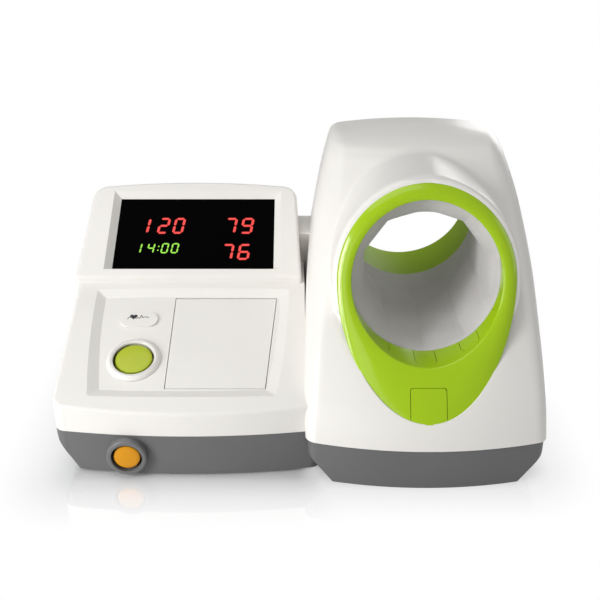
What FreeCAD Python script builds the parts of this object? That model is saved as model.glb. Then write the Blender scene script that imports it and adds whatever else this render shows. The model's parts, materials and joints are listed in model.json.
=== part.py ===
"""Arm-in blood pressure monitor: a console with a display head, joined to an arm unit with a cuff tunnel.

Millimetres. X to the right, Y to the rear, Z up; the origin is under the middle of the whole object.
Depths are counted from the foremost face of the arm unit, and turned into Y by spot().
"""
import FreeCAD, Part
import Sketcher
import math
import os
from FreeCAD import Placement, Rotation, Vector

SIZES = {
    # whole object
    "overall_width": 528, "overall_depth": 366, "foot_height": 3, "foot_radius": 9, "wall": 3,
    "shell_gap": 0.3, "board_thickness": 1.6, "standoff": 6,
    # console shells
    "console_half_width": 130, "console_front": 25.5, "console_bow": 10, "console_corner": 14,
    "base_top": 50.4, "base_side_height": 33, "base_undercut": 21, "base_side_lean": 3.5,
    "lip_height": 77.8, "deck_angle": 20.3, "deck_length": 191.8, "edge_round": 4,
    # deck recess, in the deck's own plane
    "recess_shift": 6.5, "recess_front": 24.5, "recess_back": 182, "recess_front_half": 100.3,
    "recess_back_half": 112.8, "recess_bevel": 11, "recess_depth": 4.2, "recess_bulge": 3,
    # display head
    "head_half_width": 134, "head_lip": 9, "head_angle": 30.5, "head_length": 147.5, "head_corner": 20,
    "head_arch": 6, "head_taper": 6, "head_top_depth": 9, "rear_lean": 14,
    "window_shift": 3.5, "window_half": 96.7, "window_low": 15, "window_high": 123.8, "window_depth": 6.5,
    "window_bevel": 8.5, "window_thickness": 2.5,
    # start button and heart indicator
    "button_u": -52.3, "button_v": 74.7, "button_radius": 21.9, "button_rim": 24.4, "bezel_radius": 30.7,
    "bezel_rise": 4.2, "button_height": 9, "stem_radius": 4, "pill_v": 136,
    "pill_length": 42.5, "pill_width": 21, "pill_rise": 2.2, "key_board_depth": 27,
    # printer
    "door_left": -13, "door_right": 94.5, "door_front": 37.5, "door_back": 171, "door_flare": 9.8,
    "door_thickness": 3, "door_gap": 0.8, "tub_depth": 56, "tub_wall": 2,
    "roll_radius": 23, "roll_width": 88, "roll_v": 122, "roll_depth": 34, "spindle_radius": 6,
    "platen_radius": 7, "platen_length": 90, "platen_v": 52, "platen_depth": 24, "shaft_radius": 2.5,
    "gear_teeth": 28, "pinion_teeth": 14, "gear_module": 1, "gear_width": 5, "gear_play": 0.12,
    "motor_radius": 12.5, "motor_length": 20, "running_clearance": 0.06, "cheek_left": -4, "cheek_gap": 98,
    "tub_left": -19, "tub_right": 109.5, "tub_front": 32, "tub_back": 175, "door_pin_radius": 0.8,
    # emergency stop button
    "stop_x": -181.6, "stop_z": 27, "stop_radius": 14.3, "guard_radius": 21.5, "guard_proud": 8,
    "stop_recess": 2,
    # arm unit
    "arm_half_width": 129.5, "arm_base_top": 49, "arm_height": 314, "arm_undercut": 23.5,
    "arm_side_height": 27, "arm_side_lean": 8, "front_bow_radius": 424, "rear_set": 50,
    "tunnel_radius": 80, "tunnel_z": 201.6, "collar_radius": 97.5, "ring_width": 13, "ring_tongue": 33.6,
    "ring_thickness": 3.5, "ring_wall": 2.5, "mouth_low_depth": 44, "mouth_angle": 65.4,
    "sleeve_front": 83, "sleeve_end": 282, "sleeve_lean": 15, "collar_round": 4, "sleeve_radius": 68,
    "sleeve_drop": 10, "clip_count": 10, "clip_width": 22, "clip_length": 34, "clip_slack": 0.5,
    "latch_width": 37, "latch_top": 106, "latch_thickness": 2.4, "latch_pin_radius": 0.8,
    "latch_pin_inset": 2.1, "latch_gap": 0.6, "bladder_thickness": 6, "drum_wall": 2,
    # cuff winding drive
    "winder_module": 1.5, "winder_teeth": 128, "winder_pinion_teeth": 14, "winder_width": 8,
    "winder_depth": 262,
}

doc = FreeCAD.newDocument("arm_in_monitor")
sheet = doc.addObject("Spreadsheet::Sheet", "Sizes")
for row, (alias, number) in enumerate(SIZES.items(), start=1):
    sheet.set("A%d" % row, alias)
    sheet.set("B%d" % row, str(number))
    sheet.setAlias("B%d" % row, alias)
doc.recompute()


class Size:
    """A number that remembers the sheet expression it comes from."""

    def __init__(self, value, text):
        self.value = float(value)
        self.text = text

    def __float__(self):
        return self.value

    def __add__(self, other):
        return Size(self.value + float(other), "(%s + %s)" % (self.text, text_of(other)))

    def __radd__(self, other):
        return Size(float(other) + self.value, "(%s + %s)" % (text_of(other), self.text))

    def __sub__(self, other):
        return Size(self.value - float(other), "(%s - %s)" % (self.text, text_of(other)))

    def __rsub__(self, other):
        return Size(float(other) - self.value, "(%s - %s)" % (text_of(other), self.text))

    def __mul__(self, other):
        return Size(self.value * float(other), "(%s * %s)" % (self.text, text_of(other)))

    def __rmul__(self, other):
        return self * other

    def __truediv__(self, other):
        return Size(self.value / float(other), "(%s / %s)" % (self.text, text_of(other)))

    def __neg__(self):
        return Size(-self.value, "(0 - %s)" % self.text)


def text_of(length):
    return length.text if isinstance(length, Size) else repr(float(length))


class Sheet:
    """Gives each cell of the spreadsheet as a Size."""

    def __getattr__(self, alias):
        return Size(sheet.get(alias), "Sizes." + alias)


s = Sheet()


def bind(thing, prop, length):
    """Sets a property from the sheet where the length comes from it, or as a plain number."""
    if isinstance(length, Size):
        thing.setExpression(prop, length.text)
    else:
        setattr(thing, prop, float(length))


def move(thing, at, turn=None):
    """Places an object, with each coordinate bound to the sheet."""
    thing.Placement = Placement(Vector(*[float(c) for c in at]), turn or Rotation())
    for axis, length in zip("xyz", at):
        if isinstance(length, Size):
            thing.setExpression("Placement.Base." + axis, length.text)
    return thing


# ---------------------------------------------------------------- building blocks

TURNS = {"z": Rotation(), "x": Rotation(Vector(0, 1, 0), 90), "y": Rotation(Vector(1, 0, 0), -90)}
counter = iter(range(10000))


def box(width, depth, height, at):
    """A block whose lowest corner is at the given point."""
    block = doc.addObject("Part::Box", "block%d" % next(counter))
    bind(block, "Length", width)
    bind(block, "Width", depth)
    bind(block, "Height", height)
    return move(block, at)


def slab(width, depth, height, middle):
    """A block given by the middle of its lower face."""
    x, y, z = middle
    return box(width, depth, height, (x - width / 2, y - depth / 2, z))


def rod(radius, length, at, along="z"):
    """A cylinder that starts at the given point and runs along x, y or z."""
    cylinder = doc.addObject("Part::Cylinder", "rod%d" % next(counter))
    bind(cylinder, "Radius", radius)
    bind(cylinder, "Height", length)
    return move(cylinder, at, TURNS[along])


def cut(base, *tools):
    result = doc.addObject("Part::Cut", "cut%d" % next(counter))
    result.Base = base
    result.Tool = tools[0] if len(tools) == 1 else join(*tools)
    return result


def join(*pieces):
    result = doc.addObject("Part::MultiFuse", "joined%d" % next(counter))
    result.Shapes = list(pieces)
    return result


def group(*pieces):
    result = doc.addObject("Part::Compound", "group%d" % next(counter))
    result.Links = list(pieces)
    return result


def shaped(shape):
    """A feature for a form that is worked out with Part's own functions."""
    feature = doc.addObject("Part::Feature", "form%d" % next(counter))
    feature.Shape = shape
    return feature


def sketch_on(body, role, points):
    """A closed outline whose every corner is held by constraints bound to the sheet."""
    sketch = body.newObject("Sketcher::SketchObject", "outline%d" % next(counter))
    plane = [f for f in body.Origin.OriginFeatures if f.Role == role][0]
    sketch.AttachmentSupport = [(plane, "")]
    sketch.MapMode = "FlatFace"
    spots = [Vector(float(a), float(b), 0) for a, b in points]
    for start, end in zip(spots, spots[1:] + spots[:1]):
        sketch.addGeometry(Part.LineSegment(start, end), False)
    last = len(spots) - 1
    for edge in range(len(spots)):
        sketch.addConstraint(Sketcher.Constraint("Coincident", edge, 2, 0 if edge == last else edge + 1, 1))
    for corner, (across, up) in enumerate(points):
        for kind, length, axis in (("DistanceX", across, -2), ("DistanceY", up, -1)):
            if not isinstance(length, Size) and float(length) == 0:
                sketch.addConstraint(Sketcher.Constraint("PointOnObject", corner, 1, axis))
                continue
            place = sketch.addConstraint(Sketcher.Constraint(kind, -1, 1, corner, 1, float(length)))
            if isinstance(length, Size):
                sketch.setExpression("Constraints[%d]" % place, length.text)
    return sketch


def turned(points):
    """A turned piece: (radius, height) corners spun round the Z axis."""
    body = doc.addObject("PartDesign::Body", "turned%d" % next(counter))
    outline = sketch_on(body, "XZ_Plane", points)
    spin = body.newObject("PartDesign::Revolution", "spin%d" % next(counter))
    spin.Profile = outline
    spin.ReferenceAxis = (outline, ["V_Axis"])
    spin.Angle = 360
    outline.Visibility = False
    return body


def padded(points, thickness, role="XY_Plane"):
    """A flat piece: an outline padded by its thickness."""
    body = doc.addObject("PartDesign::Body", "flat%d" % next(counter))
    outline = sketch_on(body, role, points)
    pad = body.newObject("PartDesign::Pad", "pad%d" % next(counter))
    pad.Profile = outline
    bind(pad, "Length", thickness)
    return body


nodes = {}


def node(name, thing, frame=None):
    """Names a finished sub-part and, where its place is given in a frame, puts it there."""
    thing.Label = name
    if frame is not None:
        thing.Placement = frame.multiply(thing.Placement)
    nodes[name] = thing
    return thing


# ---------------------------------------------------------------- frames

half_depth = float(s.overall_depth) / 2
console_x = float(s.console_half_width) + 4 - float(s.overall_width) / 2
arm_x = float(s.overall_width) / 2 - float(s.arm_half_width)
deck_tilt = math.radians(float(s.deck_angle))
lip_depth = float(s.console_front)
foot_depth = lip_depth + float(s.deck_length) * math.cos(deck_tilt)
foot_z = float(s.lip_height) + float(s.deck_length) * math.sin(deck_tilt)


def spot(x, depth, z):
    return Vector(float(x), float(depth) - half_depth, float(z))


deck = Placement(spot(console_x, lip_depth, s.lip_height), Rotation(Vector(1, 0, 0), float(s.deck_angle)))
head = Placement(spot(console_x, foot_depth, foot_z + float(s.head_lip)),
                 Rotation(Vector(1, 0, 0), float(s.head_angle)))


def on(frame, x=0.0, y=0.0, z=0.0, turn=None):
    """A frame moved and turned inside another frame."""
    return frame.multiply(Placement(Vector(float(x), float(y), float(z)), turn or Rotation()))


# ---------------------------------------------------------------- outlines and solids worked out in code

def wire(points):
    return Part.makePolygon(points + points[:1])


def prism(points, along):
    return Part.Face(wire(points)).extrude(along)


def bowed_plan(half_left, half_right, front, bow, corner, rear, z_low, z_high):
    """Plan outline with a bowed front and rounded front corners, raised into a solid."""
    middle = (half_right - half_left) / 2.0
    nose = Vector(middle, front, 0)
    left = Vector(-half_left + corner, front + bow, 0)
    right = Vector(half_right - corner, front + bow, 0)
    left_side = Vector(-half_left, front + bow + corner, 0)
    right_side = Vector(half_right, front + bow + corner, 0)
    bend = corner * (1 - math.sqrt(0.5))
    left_mid = Vector(-half_left + bend, front + bow + bend, 0)
    right_mid = Vector(half_right - bend, front + bow + bend, 0)
    edges = [Part.Arc(left, nose, right).toShape(), Part.Arc(right, right_mid, right_side).toShape(),
             Part.makeLine(right_side, Vector(half_right, rear, 0)),
             Part.makeLine(Vector(half_right, rear, 0), Vector(-half_left, rear, 0)),
             Part.makeLine(Vector(-half_left, rear, 0), left_side),
             Part.Arc(left_side, left_mid, left).toShape()]
    face = Part.Face(Part.Wire(edges))
    face.translate(Vector(0, 0, z_low))
    return face.extrude(Vector(0, 0, z_high - z_low))


def bulged_quad(front, back, front_half, back_half, bulge, z):
    """Four-sided outline, wider at the back, whose sides bow outwards."""
    corners = [Vector(-front_half, front, z), Vector(front_half, front, z),
               Vector(back_half, back, z), Vector(-back_half, back, z)]
    outward = [Vector(0, -bulge * 0.6, 0), Vector(bulge, 0, 0),
               Vector(0, bulge * 0.8, 0), Vector(-bulge, 0, 0)]
    edges = []
    for index in range(4):
        start, end = corners[index], corners[(index + 1) % 4]
        edges.append(Part.Arc(start, (start + end) * 0.5 + outward[index], end).toShape())
    return Part.Wire(edges)


def sink(quad_low, quad_high, corner):
    """A bevelled sinking between two outlines, its corners rounded."""
    solid = Part.makeLoft([quad_low, quad_high], True, True)
    upright = [e for e in solid.Edges if abs(e.Vertexes[0].Z - e.Vertexes[-1].Z) > 1]
    return solid.makeFillet(corner, upright)


def placed(shape, frame):
    copy = shape.copy()
    copy.Placement = frame.multiply(copy.Placement)
    return copy


# ---------------------------------------------------------------- arm unit shells

# Share of the housing's rise, depth of the nose, half width in front and behind, size of the front corner.
ARM_STATIONS = [
    (0.000, 0, 124.5, 129.5, 10), (0.046, 4.5, 124.7, 129.5, 12), (0.098, 11, 125, 129.5, 14),
    (0.230, 36, 125.5, 129.5, 20), (0.381, 70, 125, 129, 26), (0.532, 103, 123, 127, 30),
    (0.683, 140, 118, 121.5, 32), (0.804, 171, 112, 114.5, 32), (0.890, 198, 105.5, 107, 30),
    (0.935, 214, 101.5, 102.5, 26), (0.966, 231, 98, 98.5, 22), (0.985, 253, 94.5, 95, 16),
    (1.000, 284, 90, 90.5, 8),
]


# How far the ring's tongue comes forward for each millimetre it drops.
TONGUE_LEAN = 0.73


def arm_section(station, inset):
    """One level outline of the arm housing: bowed nose, rounded corners, straight sides, flat rear."""
    share, nose, half_front, half_rear, corner = station
    rise = float(s.arm_height) - float(s.arm_base_top)
    z = float(s.arm_base_top) + share * rise
    widest = float(s.arm_half_width) / 129.5
    half_front = half_front * widest - inset
    half_rear = half_rear * widest - inset
    nose = nose + 1.4 * inset
    rear = float(s.overall_depth) - share * float(s.rear_set) - inset
    radius = float(s.front_bow_radius)
    bow_end = half_front - corner
    bow_depth = nose + bow_end ** 2 / (2 * radius)
    lean = corner * bow_end / radius
    rear_corner = min(18.0, (rear - bow_depth - lean - corner) * 0.4)
    right = [Vector(bow_end, bow_depth, z), Vector(half_front, bow_depth + lean, z),
             Vector(half_front, bow_depth + lean + corner, z), Vector(half_rear, rear - rear_corner, z),
             Vector(half_rear, rear, z), Vector(half_rear - rear_corner, rear, z)]
    left = [Vector(-v.x, v.y, v.z) for v in right]

    def curve(poles):
        bezier = Part.BezierCurve()
        bezier.setPoles(poles)
        return bezier.toShape()

    edges = [Part.Arc(left[0], Vector(0, nose, z), right[0]).toShape(), curve(right[0:3]),
             Part.makeLine(right[2], right[3]), curve(right[3:6]), Part.makeLine(right[5], left[5]),
             curve([left[5], left[4], left[3]]), Part.makeLine(left[3], left[2]),
             curve([left[2], left[1], left[0]])]
    return Part.Wire(edges)


def arm_body(inset, top_inset):
    """The leaning housing, or with an inset the hollow inside it."""
    solid = Part.makeLoft([arm_section(station, inset) for station in ARM_STATIONS], True, False)
    if top_inset:
        solid.translate(Vector(0, 0, -top_inset))
    solid.translate(Vector(arm_x, -half_depth, 0))
    return solid


def mouth_profile(inset):
    """Side view of the ring's front: a steep mouth between a sloping tongue and a rounded top, moved in."""
    steep = math.radians(float(s.mouth_angle))
    z_mid, radius = float(s.tunnel_z), float(s.tunnel_radius)
    low = Vector(0, float(s.mouth_low_depth), z_mid - radius)
    high = low + Vector(0, 2 * radius / math.tan(steep), 2 * radius)
    tongue = float(s.ring_width + s.ring_tongue)
    foot = low + Vector(0, -tongue * TONGUE_LEAN, -tongue)
    brow = high + Vector(0, float(s.ring_width) * 0.66, float(s.ring_width))
    end = brow + Vector(0, 20, 9)
    toe = foot + Vector(0, -30, -60)
    into = Vector(0, math.sin(steep), -math.cos(steep)) * inset
    return [p + into for p in (toe, foot, low, high, brow, end)]


def mouth_block(inset):
    """Everything behind the ring's front face, which bows back to both sides as the housing does."""
    reach, back = float(s.collar_radius) + 45, 500.0
    sections = []
    for step in (-1.0, -0.5, 0.0, 0.5, 1.0):
        x = step * reach
        shift = Vector(x, x * x / (2 * float(s.front_bow_radius)), 0)
        front = [p + shift for p in mouth_profile(inset)]
        curve = Part.BSplineCurve()
        curve.interpolate(front[1:5])
        edges = [Part.makeLine(front[0], front[1]), curve.toShape(), Part.makeLine(front[4], front[5]),
                 Part.makeLine(front[5], Vector(x, back, front[5].z)),
                 Part.makeLine(Vector(x, back, front[5].z), Vector(x, back, front[0].z)),
                 Part.makeLine(Vector(x, back, front[0].z), front[0])]
        sections.append(Part.Wire(edges))
    block = Part.makeLoft(sections, True, False)
    block.translate(Vector(arm_x, -half_depth, 0))
    return block


def egg(grow):
    """The ring's outline, a half circle over a longer half ellipse, run through in depth."""
    radius = float(s.tunnel_radius + s.ring_width) + grow
    long_radius = radius + float(s.ring_tongue)
    upper = Part.Arc(Vector(radius, 0, 0), Vector(0, 0, radius), Vector(-radius, 0, 0)).toShape()
    ellipse = Part.Ellipse(Vector(0, 0, -long_radius), Vector(radius, 0, 0), Vector(0, 0, 0))
    lower = Part.ArcOfEllipse(ellipse, -math.pi / 2, math.pi / 2).toShape()
    face = Part.Face(Part.Wire(Part.__sortEdges__([upper, lower])))
    solid = face.extrude(Vector(0, 600, 0))
    solid.translate(Vector(arm_x, -half_depth - 100, float(s.tunnel_z)))
    return solid


def bore(radius, start=-100.0, length=700.0, drop=0.0):
    """A round bar along the tunnel."""
    base = Vector(arm_x, start - half_depth, float(s.tunnel_z) - drop)
    return Part.makeCylinder(float(radius), float(length), base, Vector(0, 1, 0))


def leaning_front(depth_low, lean):
    """Everything behind a plane that leans back by lean degrees, from a depth at the tunnel's bottom."""
    z_low = float(s.tunnel_z - s.tunnel_radius)
    rise = 400.0
    back = 700.0
    offset = rise * math.tan(math.radians(lean))
    points = [spot(arm_x - 200, depth_low - offset, z_low - rise), spot(arm_x - 200, back, z_low - rise),
              spot(arm_x - 200, back, z_low + rise), spot(arm_x - 200, depth_low + offset, z_low + rise)]
    return prism(points, Vector(400, 0, 0))


wall = float(s.wall)
gap = float(s.shell_gap)
ring_outer = float(s.tunnel_radius + s.ring_width)
tube_outer = float(s.tunnel_radius + s.ring_wall)
tongue_slope = math.atan2(1.0, TONGUE_LEAN)


def rear_slab(start, thickness):
    """A leaning slice parallel to the arm housing's rear face, start beyond it."""
    drop = 60.0
    rise = float(s.arm_height) - float(s.arm_base_top)
    low = float(s.overall_depth) + float(s.rear_set) / rise * drop
    high = float(s.overall_depth) - float(s.rear_set) - float(s.rear_set) / rise * drop
    z_low, z_high = float(s.arm_base_top) - drop, float(s.arm_height) + drop
    x = arm_x - 200
    points = [spot(x, low + start, z_low), spot(x, low + start + thickness, z_low),
              spot(x, high + start + thickness, z_high), spot(x, high + start, z_high)]
    return prism(points, Vector(400, 0, 0))


def outer_arm():
    """Housing and collar as one form, with the collar's front lip rounded."""
    collar = bore(s.collar_radius, 0, float(s.sleeve_end)).common(mouth_block(1))
    form = arm_body(0, 0).fuse(collar).removeSplitter()
    crease = []
    for edge in form.Edges:
        kinds = [face.Surface.TypeId for face in form.ancestorsOfType(edge, Part.Face)]
        if kinds.count("Part::GeomCylinder") == 1:
            crease.append(edge)
    lip = sorted(crease, key=lambda edge: edge.Length)[-2:]
    return form.makeFillet(float(s.collar_round), lip)


def latch_zone(grow, depth):
    """The flap's rectangle in the ring's tongue, run back through the ring."""
    half = float(s.latch_width) / 2 + grow
    low = float(s.tunnel_z) - ring_outer - float(s.ring_tongue) - 20
    high = float(s.latch_top) + grow
    block = Part.makeBox(2 * half, depth, high - low, spot(arm_x - half, -20, low))
    edges = [e for e in block.Edges if abs(e.CenterOfMass.z - high) < 0.01 and e.Length > depth - 1]
    return block.makeFillet(3, edges)


def tongue_point(z, inset):
    """The point of the ring's middle line at a level, moved in along the tongue's normal."""
    ray = Part.makeLine(Vector(arm_x, -half_depth - 50, z), Vector(arm_x, half_depth, z))
    face_y = mouth_block(0).common(ray).BoundBox.YMin
    into = Vector(0, math.sin(tongue_slope), -math.cos(tongue_slope)) * inset
    return Vector(arm_x, face_y, z) + into


def clip_tool(index, grow):
    """A radial block with a rounded front end where one clip sits in the ring's wall, behind its face."""
    angle = math.radians(-90 + index * 360.0 / float(s.clip_count))
    radius = float(s.tunnel_radius)
    rise = radius * (1 + math.sin(angle))
    bow = (radius * math.cos(angle)) ** 2 / (2 * float(s.front_bow_radius))
    plane = float(s.sleeve_front) + rise * math.tan(math.radians(float(s.sleeve_lean)))
    mouth = float(s.mouth_low_depth) + bow + rise / math.tan(math.radians(float(s.mouth_angle)))
    length = max(1.5, min(float(s.clip_length), plane - mouth - float(s.ring_thickness) - 3.5))
    half = float(s.clip_width) / 2
    rounding = min(half, length)
    inside, thick = radius - 4, float(s.ring_wall) + 4.1
    block = Part.makeBox(2 * half + 2 * grow, length - rounding + 40, thick,
                         Vector(-half - grow, plane - length + rounding, inside))
    tip = Part.makeCylinder(half + grow, thick, Vector(0, plane - length + half, inside), Vector(0, 0, 1))
    keep = Part.makeBox(2 * half + 2 * grow, rounding + grow, thick,
                        Vector(-half - grow, plane - length - grow, inside))
    tool = block.fuse(tip.common(keep))
    tool.rotate(Vector(0, 0, 0), Vector(0, 1, 0), 90 - math.degrees(angle))
    tool.translate(Vector(arm_x, -half_depth, float(s.tunnel_z)))
    return tool


sleeve_zone = leaning_front(float(s.sleeve_front), float(s.sleeve_lean))
pocket = egg(gap).cut(mouth_block(float(s.ring_thickness)))
hollow = arm_body(wall, wall).fuse(bore(float(s.collar_radius) - wall, 40, 300))
hollow = hollow.common(mouth_block(float(s.ring_thickness) + wall))
housing = outer_arm().cut(pocket).cut(hollow).cut(bore(tube_outer + gap))
latch_hole = latch_zone(float(s.latch_gap), 120)
flap_hole = latch_hole.common(mouth_block(0)).common(egg(gap))
housing = max(housing.cut(flap_hole).Solids, key=lambda piece: piece.Volume)
node("arm_housing", shaped(housing))

ring = egg(0).common(mouth_block(0)).cut(mouth_block(float(s.ring_thickness)))
ring_tube = bore(tube_outer).common(mouth_block(0)).cut(sleeve_zone)
ring = ring.fuse(ring_tube).cut(bore(s.tunnel_radius))
clip_band = bore(tube_outer - 0.2).cut(bore(float(s.tunnel_radius) + 0.2)).cut(sleeve_zone)
clip_band = clip_band.common(mouth_block(0))
clips = []
for index in range(int(float(s.clip_count))):
    ring = ring.cut(clip_tool(index, float(s.clip_slack)))
    clips.append(clip_band.common(clip_tool(index, 0)))
pin_middle = tongue_point(float(s.latch_top) - 3, float(s.latch_pin_inset))
pin_half = Vector(float(s.latch_width) / 2 + 4, 0, 0)
pin = Part.makeCylinder(float(s.latch_pin_radius), 2 * pin_half.x, pin_middle - pin_half, Vector(1, 0, 0))
ring = ring.cut(latch_hole).cut(pin)
node("arm_ring", shaped(ring))
node("cuff_clips", shaped(Part.Compound([c for clip in clips for c in clip.Solids])))

flap = egg(0).common(mouth_block(0)).cut(mouth_block(float(s.latch_thickness))).common(latch_zone(0, 120))
knuckle_half = Vector(float(s.latch_width) / 2 - 2, 0, 0)
knuckle = Part.makeCylinder(float(s.latch_thickness), 2 * knuckle_half.x, pin_middle - knuckle_half,
                            Vector(1, 0, 0))
flap = flap.fuse(knuckle.common(mouth_block(0.3)))
flap = flap.cut(Part.makeCylinder(float(s.latch_pin_radius) + float(s.running_clearance), 2 * pin_half.x,
                                  pin_middle - pin_half, Vector(1, 0, 0)))
node("ring_latch", shaped(flap))
node("latch_pin", shaped(pin))

rear_tube = bore(tube_outer, s.sleeve_end, 200).cut(rear_slab(2.5, 200))
rear_flange = bore(ring_outer).common(rear_slab(0, 2.5))
node("rear_ring", shaped(rear_tube.fuse(rear_flange).cut(bore(s.tunnel_radius))))


# ---------------------------------------------------------------- arm base

def arm_tray(inset, z_low):
    """The tray under the housing: the housing's own outline, with its lower sides cut back."""
    top = float(s.arm_base_top)
    plan = Part.Face(arm_section(ARM_STATIONS[0], inset))
    plan.translate(Vector(arm_x, -half_depth, z_low - top))
    block = plan.extrude(Vector(0, 0, top - z_low))
    half = float(s.arm_half_width) - inset
    side_z = float(s.foot_height + s.arm_side_height)
    low_half = half - float(s.arm_side_lean) - float(s.arm_undercut)
    outline = [(half, top), (half - float(s.arm_side_lean), side_z), (low_half, float(s.foot_height))]
    points = [spot(arm_x + x, -50, z) for x, z in outline]
    points += [spot(arm_x - x, -50, z) for x, z in reversed(outline)]
    return block.common(prism(points, Vector(0, 600, 0)))


arm_tray_outer = arm_tray(0, float(s.foot_height))
arm_tray_shell = arm_tray_outer.cut(arm_tray(wall, float(s.foot_height) + wall))
node("arm_base", shaped(arm_tray_shell))


# ---------------------------------------------------------------- console shells

console_rear = float(s.overall_depth)
console_right = arm_x - float(s.arm_half_width) + 20 - console_x
seam_rear = console_rear - float(s.rear_lean)


def console_body(inset):
    """The wedge under the deck and the flat shelf that carries the display head."""
    half = float(s.console_half_width) - inset
    front = lip_depth + inset
    drop = inset / math.cos(deck_tilt)
    slope = math.tan(deck_tilt)
    outline = [(front, float(s.base_top)), (front, float(s.lip_height) + inset * slope - drop),
               (foot_depth, foot_z - drop), (seam_rear - inset, foot_z - drop),
               (console_rear - inset, float(s.base_top))]
    points = [spot(console_x - 200, depth, z) for depth, z in outline]
    wedge = prism(points, Vector(400 + console_right, 0, 0))
    plan = bowed_plan(half, console_right, front, float(s.console_bow), float(s.console_corner),
                      console_rear, 0.0, 400.0)
    plan.translate(spot(console_x, 0, 0))
    return wedge.common(plan)


def near_arm(shape):
    """What is left of a console shell beside the arm unit."""
    return shape.cut(arm_body(-gap, 0)).cut(arm_tray(-gap, 0.0))


def recess_sink(grow):
    """The bevelled recess of the deck, or with grow the block that its walls are left in."""
    bevel = float(s.recess_bevel)
    rise, low = 6.0, -float(s.recess_depth) - grow
    slope = bevel / float(s.recess_depth)
    bulge = float(s.recess_bulge)

    def outline(z):
        inward = min(-z * slope, bevel) - grow
        return bulged_quad(float(s.recess_front) + inward, float(s.recess_back) - inward,
                           float(s.recess_front_half) - inward, float(s.recess_back_half) - inward, bulge, z)

    upper = sink(outline(0.0), outline(low), 7)
    cap = Part.Face(outline(0.0)).extrude(Vector(0, 0, rise))
    return placed(upper.fuse(cap), on(deck, float(s.recess_shift)))


def door_outline(grow, z):
    """The door's four corners in the deck's plane."""
    front, back = float(s.door_front) - grow, float(s.door_back) + grow
    left, right = float(s.door_left) - grow, float(s.door_right) + grow
    flare = float(s.door_flare)
    return [Vector(left, front, z), Vector(right, front, z),
            Vector(right + flare, back, z), Vector(left, back, z)]


shell = console_body(0)
lip_edges = [e for e in shell.Edges
             if e.CenterOfMass.z > float(s.base_top) + 5 and e.CenterOfMass.x < console_x + console_right - 5
             and abs(e.CenterOfMass.z - foot_z) > 1]
shell = shell.makeFillet(float(s.edge_round), lip_edges)
cavity = console_body(wall).cut(recess_sink(wall))
shell = shell.cut(recess_sink(0)).cut(cavity)
door_hole = prism(door_outline(float(s.door_gap), -30.0), Vector(0, 0, 40))
button_hole = Part.makeCylinder(float(s.button_rim), 40, Vector(float(s.button_u), float(s.button_v), -30))
pill_hole = Part.makeBox(20, 8, 40, Vector(float(s.button_u) - 10, float(s.pill_v) - 4, -30))
for hole in (door_hole, button_hole, pill_hole):
    shell = shell.cut(placed(hole, deck))
shelf_hole = Part.makeBox(160, 70, 30, spot(console_x - 80, foot_depth + 25, foot_z - 20))
node("console_cover", shaped(near_arm(shell.cut(shelf_hole))))


def console_tray(inset, z_low):
    """The console's tray, its left lower side cut back."""
    half = float(s.console_half_width) - inset
    top = float(s.base_top)
    plan = bowed_plan(half, console_right, lip_depth + inset, float(s.console_bow), float(s.console_corner),
                      console_rear - inset, z_low, top)
    plan.translate(spot(console_x, 0, 0))
    lean, under = float(s.base_side_lean), float(s.base_undercut)
    side_z = float(s.foot_height + s.base_side_height)
    outline = [(half, top), (half - lean, side_z), (half - lean - under, float(s.foot_height)),
               (-console_right, float(s.foot_height)), (-console_right, top)]
    points = [spot(console_x - x, -50, z) for x, z in outline]
    return plan.common(prism(points, Vector(0, 600, 0)))


stop_bore = Part.makeCylinder(float(s.stop_radius + s.stop_recess) + gap, 60,
                              spot(s.stop_x, 0, s.stop_z), Vector(0, 1, 0))
tray_shell = console_tray(0, float(s.foot_height)).cut(console_tray(wall, float(s.foot_height) + wall))
inlet_hole = Part.makeBox(49, 30, 27, spot(console_x - 90.5, console_rear - 15, 17.5))
tray_shell = near_arm(tray_shell.cut(stop_bore).cut(inlet_hole))
node("console_base", shaped(tray_shell))


# ---------------------------------------------------------------- display head

def head_plan(inset):
    """Outline of the head in the plane of its window: straight foot, arched top, rounded upper corners."""
    foot_half = float(s.head_half_width) - inset
    high_half = foot_half - float(s.head_taper)
    height, arch = float(s.head_length) - inset, float(s.head_arch)
    corner = float(s.head_corner) - inset
    shoulder = height - arch
    below = 60.0
    low_half = foot_half + float(s.head_taper) * below / (shoulder - corner)
    right = [Vector(low_half, -below, 0), Vector(high_half, shoulder - corner, 0),
             Vector(high_half - corner, shoulder, 0)]
    left = [Vector(-v.x, v.y, 0) for v in right]
    bend = corner * (1 - math.sqrt(0.5))
    right_mid = Vector(high_half - bend, shoulder - bend, 0)
    left_mid = Vector(-right_mid.x, right_mid.y, 0)
    edges = [Part.makeLine(left[0], right[0]), Part.makeLine(right[0], right[1]),
             Part.Arc(right[1], right_mid, right[2]).toShape(),
             Part.Arc(right[2], Vector(0, height, 0), left[2]).toShape(),
             Part.Arc(left[2], left_mid, left[1]).toShape(), Part.makeLine(left[1], left[0])]
    block = Part.Face(Part.Wire(edges)).extrude(Vector(0, 0, -260))
    return placed(block, on(head, 0, 0, -inset))


def head_body(inset):
    """The wedge that carries the display, standing on the console's shelf."""
    tilt = math.radians(float(s.head_angle))
    top_depth = foot_depth + float(s.head_length) * math.cos(tilt) + float(s.head_top_depth)
    outline = [(foot_depth + inset, foot_z), (foot_depth + inset, 400), (top_depth - inset, 400),
               (top_depth - inset, foot_z + 85), (seam_rear - inset, foot_z)]
    points = [spot(console_x - 200, depth, z) for depth, z in outline]
    return head_plan(inset).common(prism(points, Vector(400, 0, 0)))


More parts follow.
